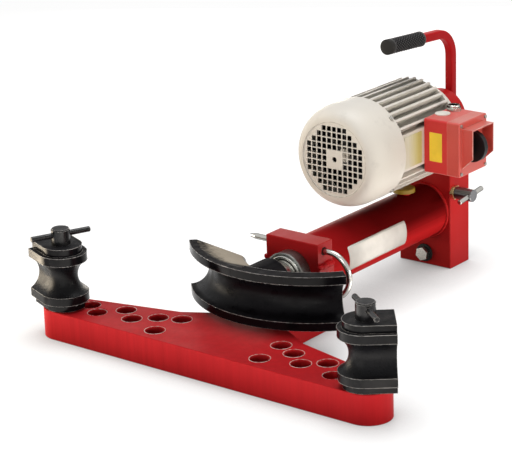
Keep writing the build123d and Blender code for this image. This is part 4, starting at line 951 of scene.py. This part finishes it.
def by_rays(tree, plain, seen, out):
    """Output one shader to the seen rays and a plain one to all others."""
    pick = add_node(tree, "ShaderNodeMixShader")
    tree.links.new(seen_rays(tree), pick.inputs[0])
    tree.links.new(plain.outputs[0], pick.inputs[1])
    tree.links.new(seen.outputs[0], pick.inputs[2])
    tree.links.new(pick.outputs[0], out.inputs[0])


def studio_world():
    """Plain soft light on the object, white to the camera and in reflections."""
    world = bpy.data.worlds.new("studio")
    scene.world = world
    world.use_nodes = True
    tree = world.node_tree
    tree.nodes.clear()
    out = add_node(tree, "ShaderNodeOutputWorld")
    soft = add_node(tree, "ShaderNodeBackground", Color=WHITE, Strength=WORLD_LIGHT)
    bright = add_node(tree, "ShaderNodeBackground", Color=WHITE, Strength=1.0)
    by_rays(tree, soft, bright, out)


def floor_material():
    """Grey floor that looks white, apart from the object's shadow on it and a painted contact shadow near it.
    """
    mat = bpy.data.materials.new("pale_floor")
    mat.use_nodes = True
    tree = mat.node_tree
    tree.nodes.clear()
    out = add_node(tree, "ShaderNodeOutputMaterial")
    plain = add_node(tree, "ShaderNodeBsdfDiffuse", Color=(FLOOR_GREY, FLOOR_GREY, FLOOR_GREY, 1))
    shade = add_node(tree, "ShaderNodeBsdfDiffuse", Color=(FLOOR_SHADE, FLOOR_SHADE, FLOOR_SHADE, 1))
    glow = add_node(tree, "ShaderNodeEmission", Color=WHITE)
    both = add_node(tree, "ShaderNodeAddShader")
    # The glow fades by ambient occlusion: a painted contact shadow near the object and in its holes
    contact_shade = add_node(tree, "ShaderNodeAmbientOcclusion", Distance=FLOOR_CONTACT)
    contact_shade.samples = 8
    level = add_node(tree, "ShaderNodeMath")
    level.operation = "MULTIPLY"
    level.inputs[1].default_value = FLOOR_GLOW
    tree.links.new(contact_shade.outputs["AO"], level.inputs[0])
    tree.links.new(level.outputs[0], glow.inputs["Strength"])
    tree.links.new(shade.outputs[0], both.inputs[0])
    tree.links.new(glow.outputs[0], both.inputs[1])
    by_rays(tree, plain, both, out)
    return mat


def pale_floor():
    mesh = bpy.data.meshes.new("floor")
    corners = [(x * FLOOR_REACH, y * FLOOR_REACH, 0) for x, y in ((-1, -1), (1, -1), (1, 1), (-1, 1))]
    mesh.from_pydata(corners, [], [(0, 1, 2, 3)])
    mesh.materials.append(floor_material())
    floor = bpy.data.objects.new("floor", mesh)
    floor.location.z = -FLOOR_DROP
    scene.collection.objects.link(floor)


studio_world()
pale_floor()
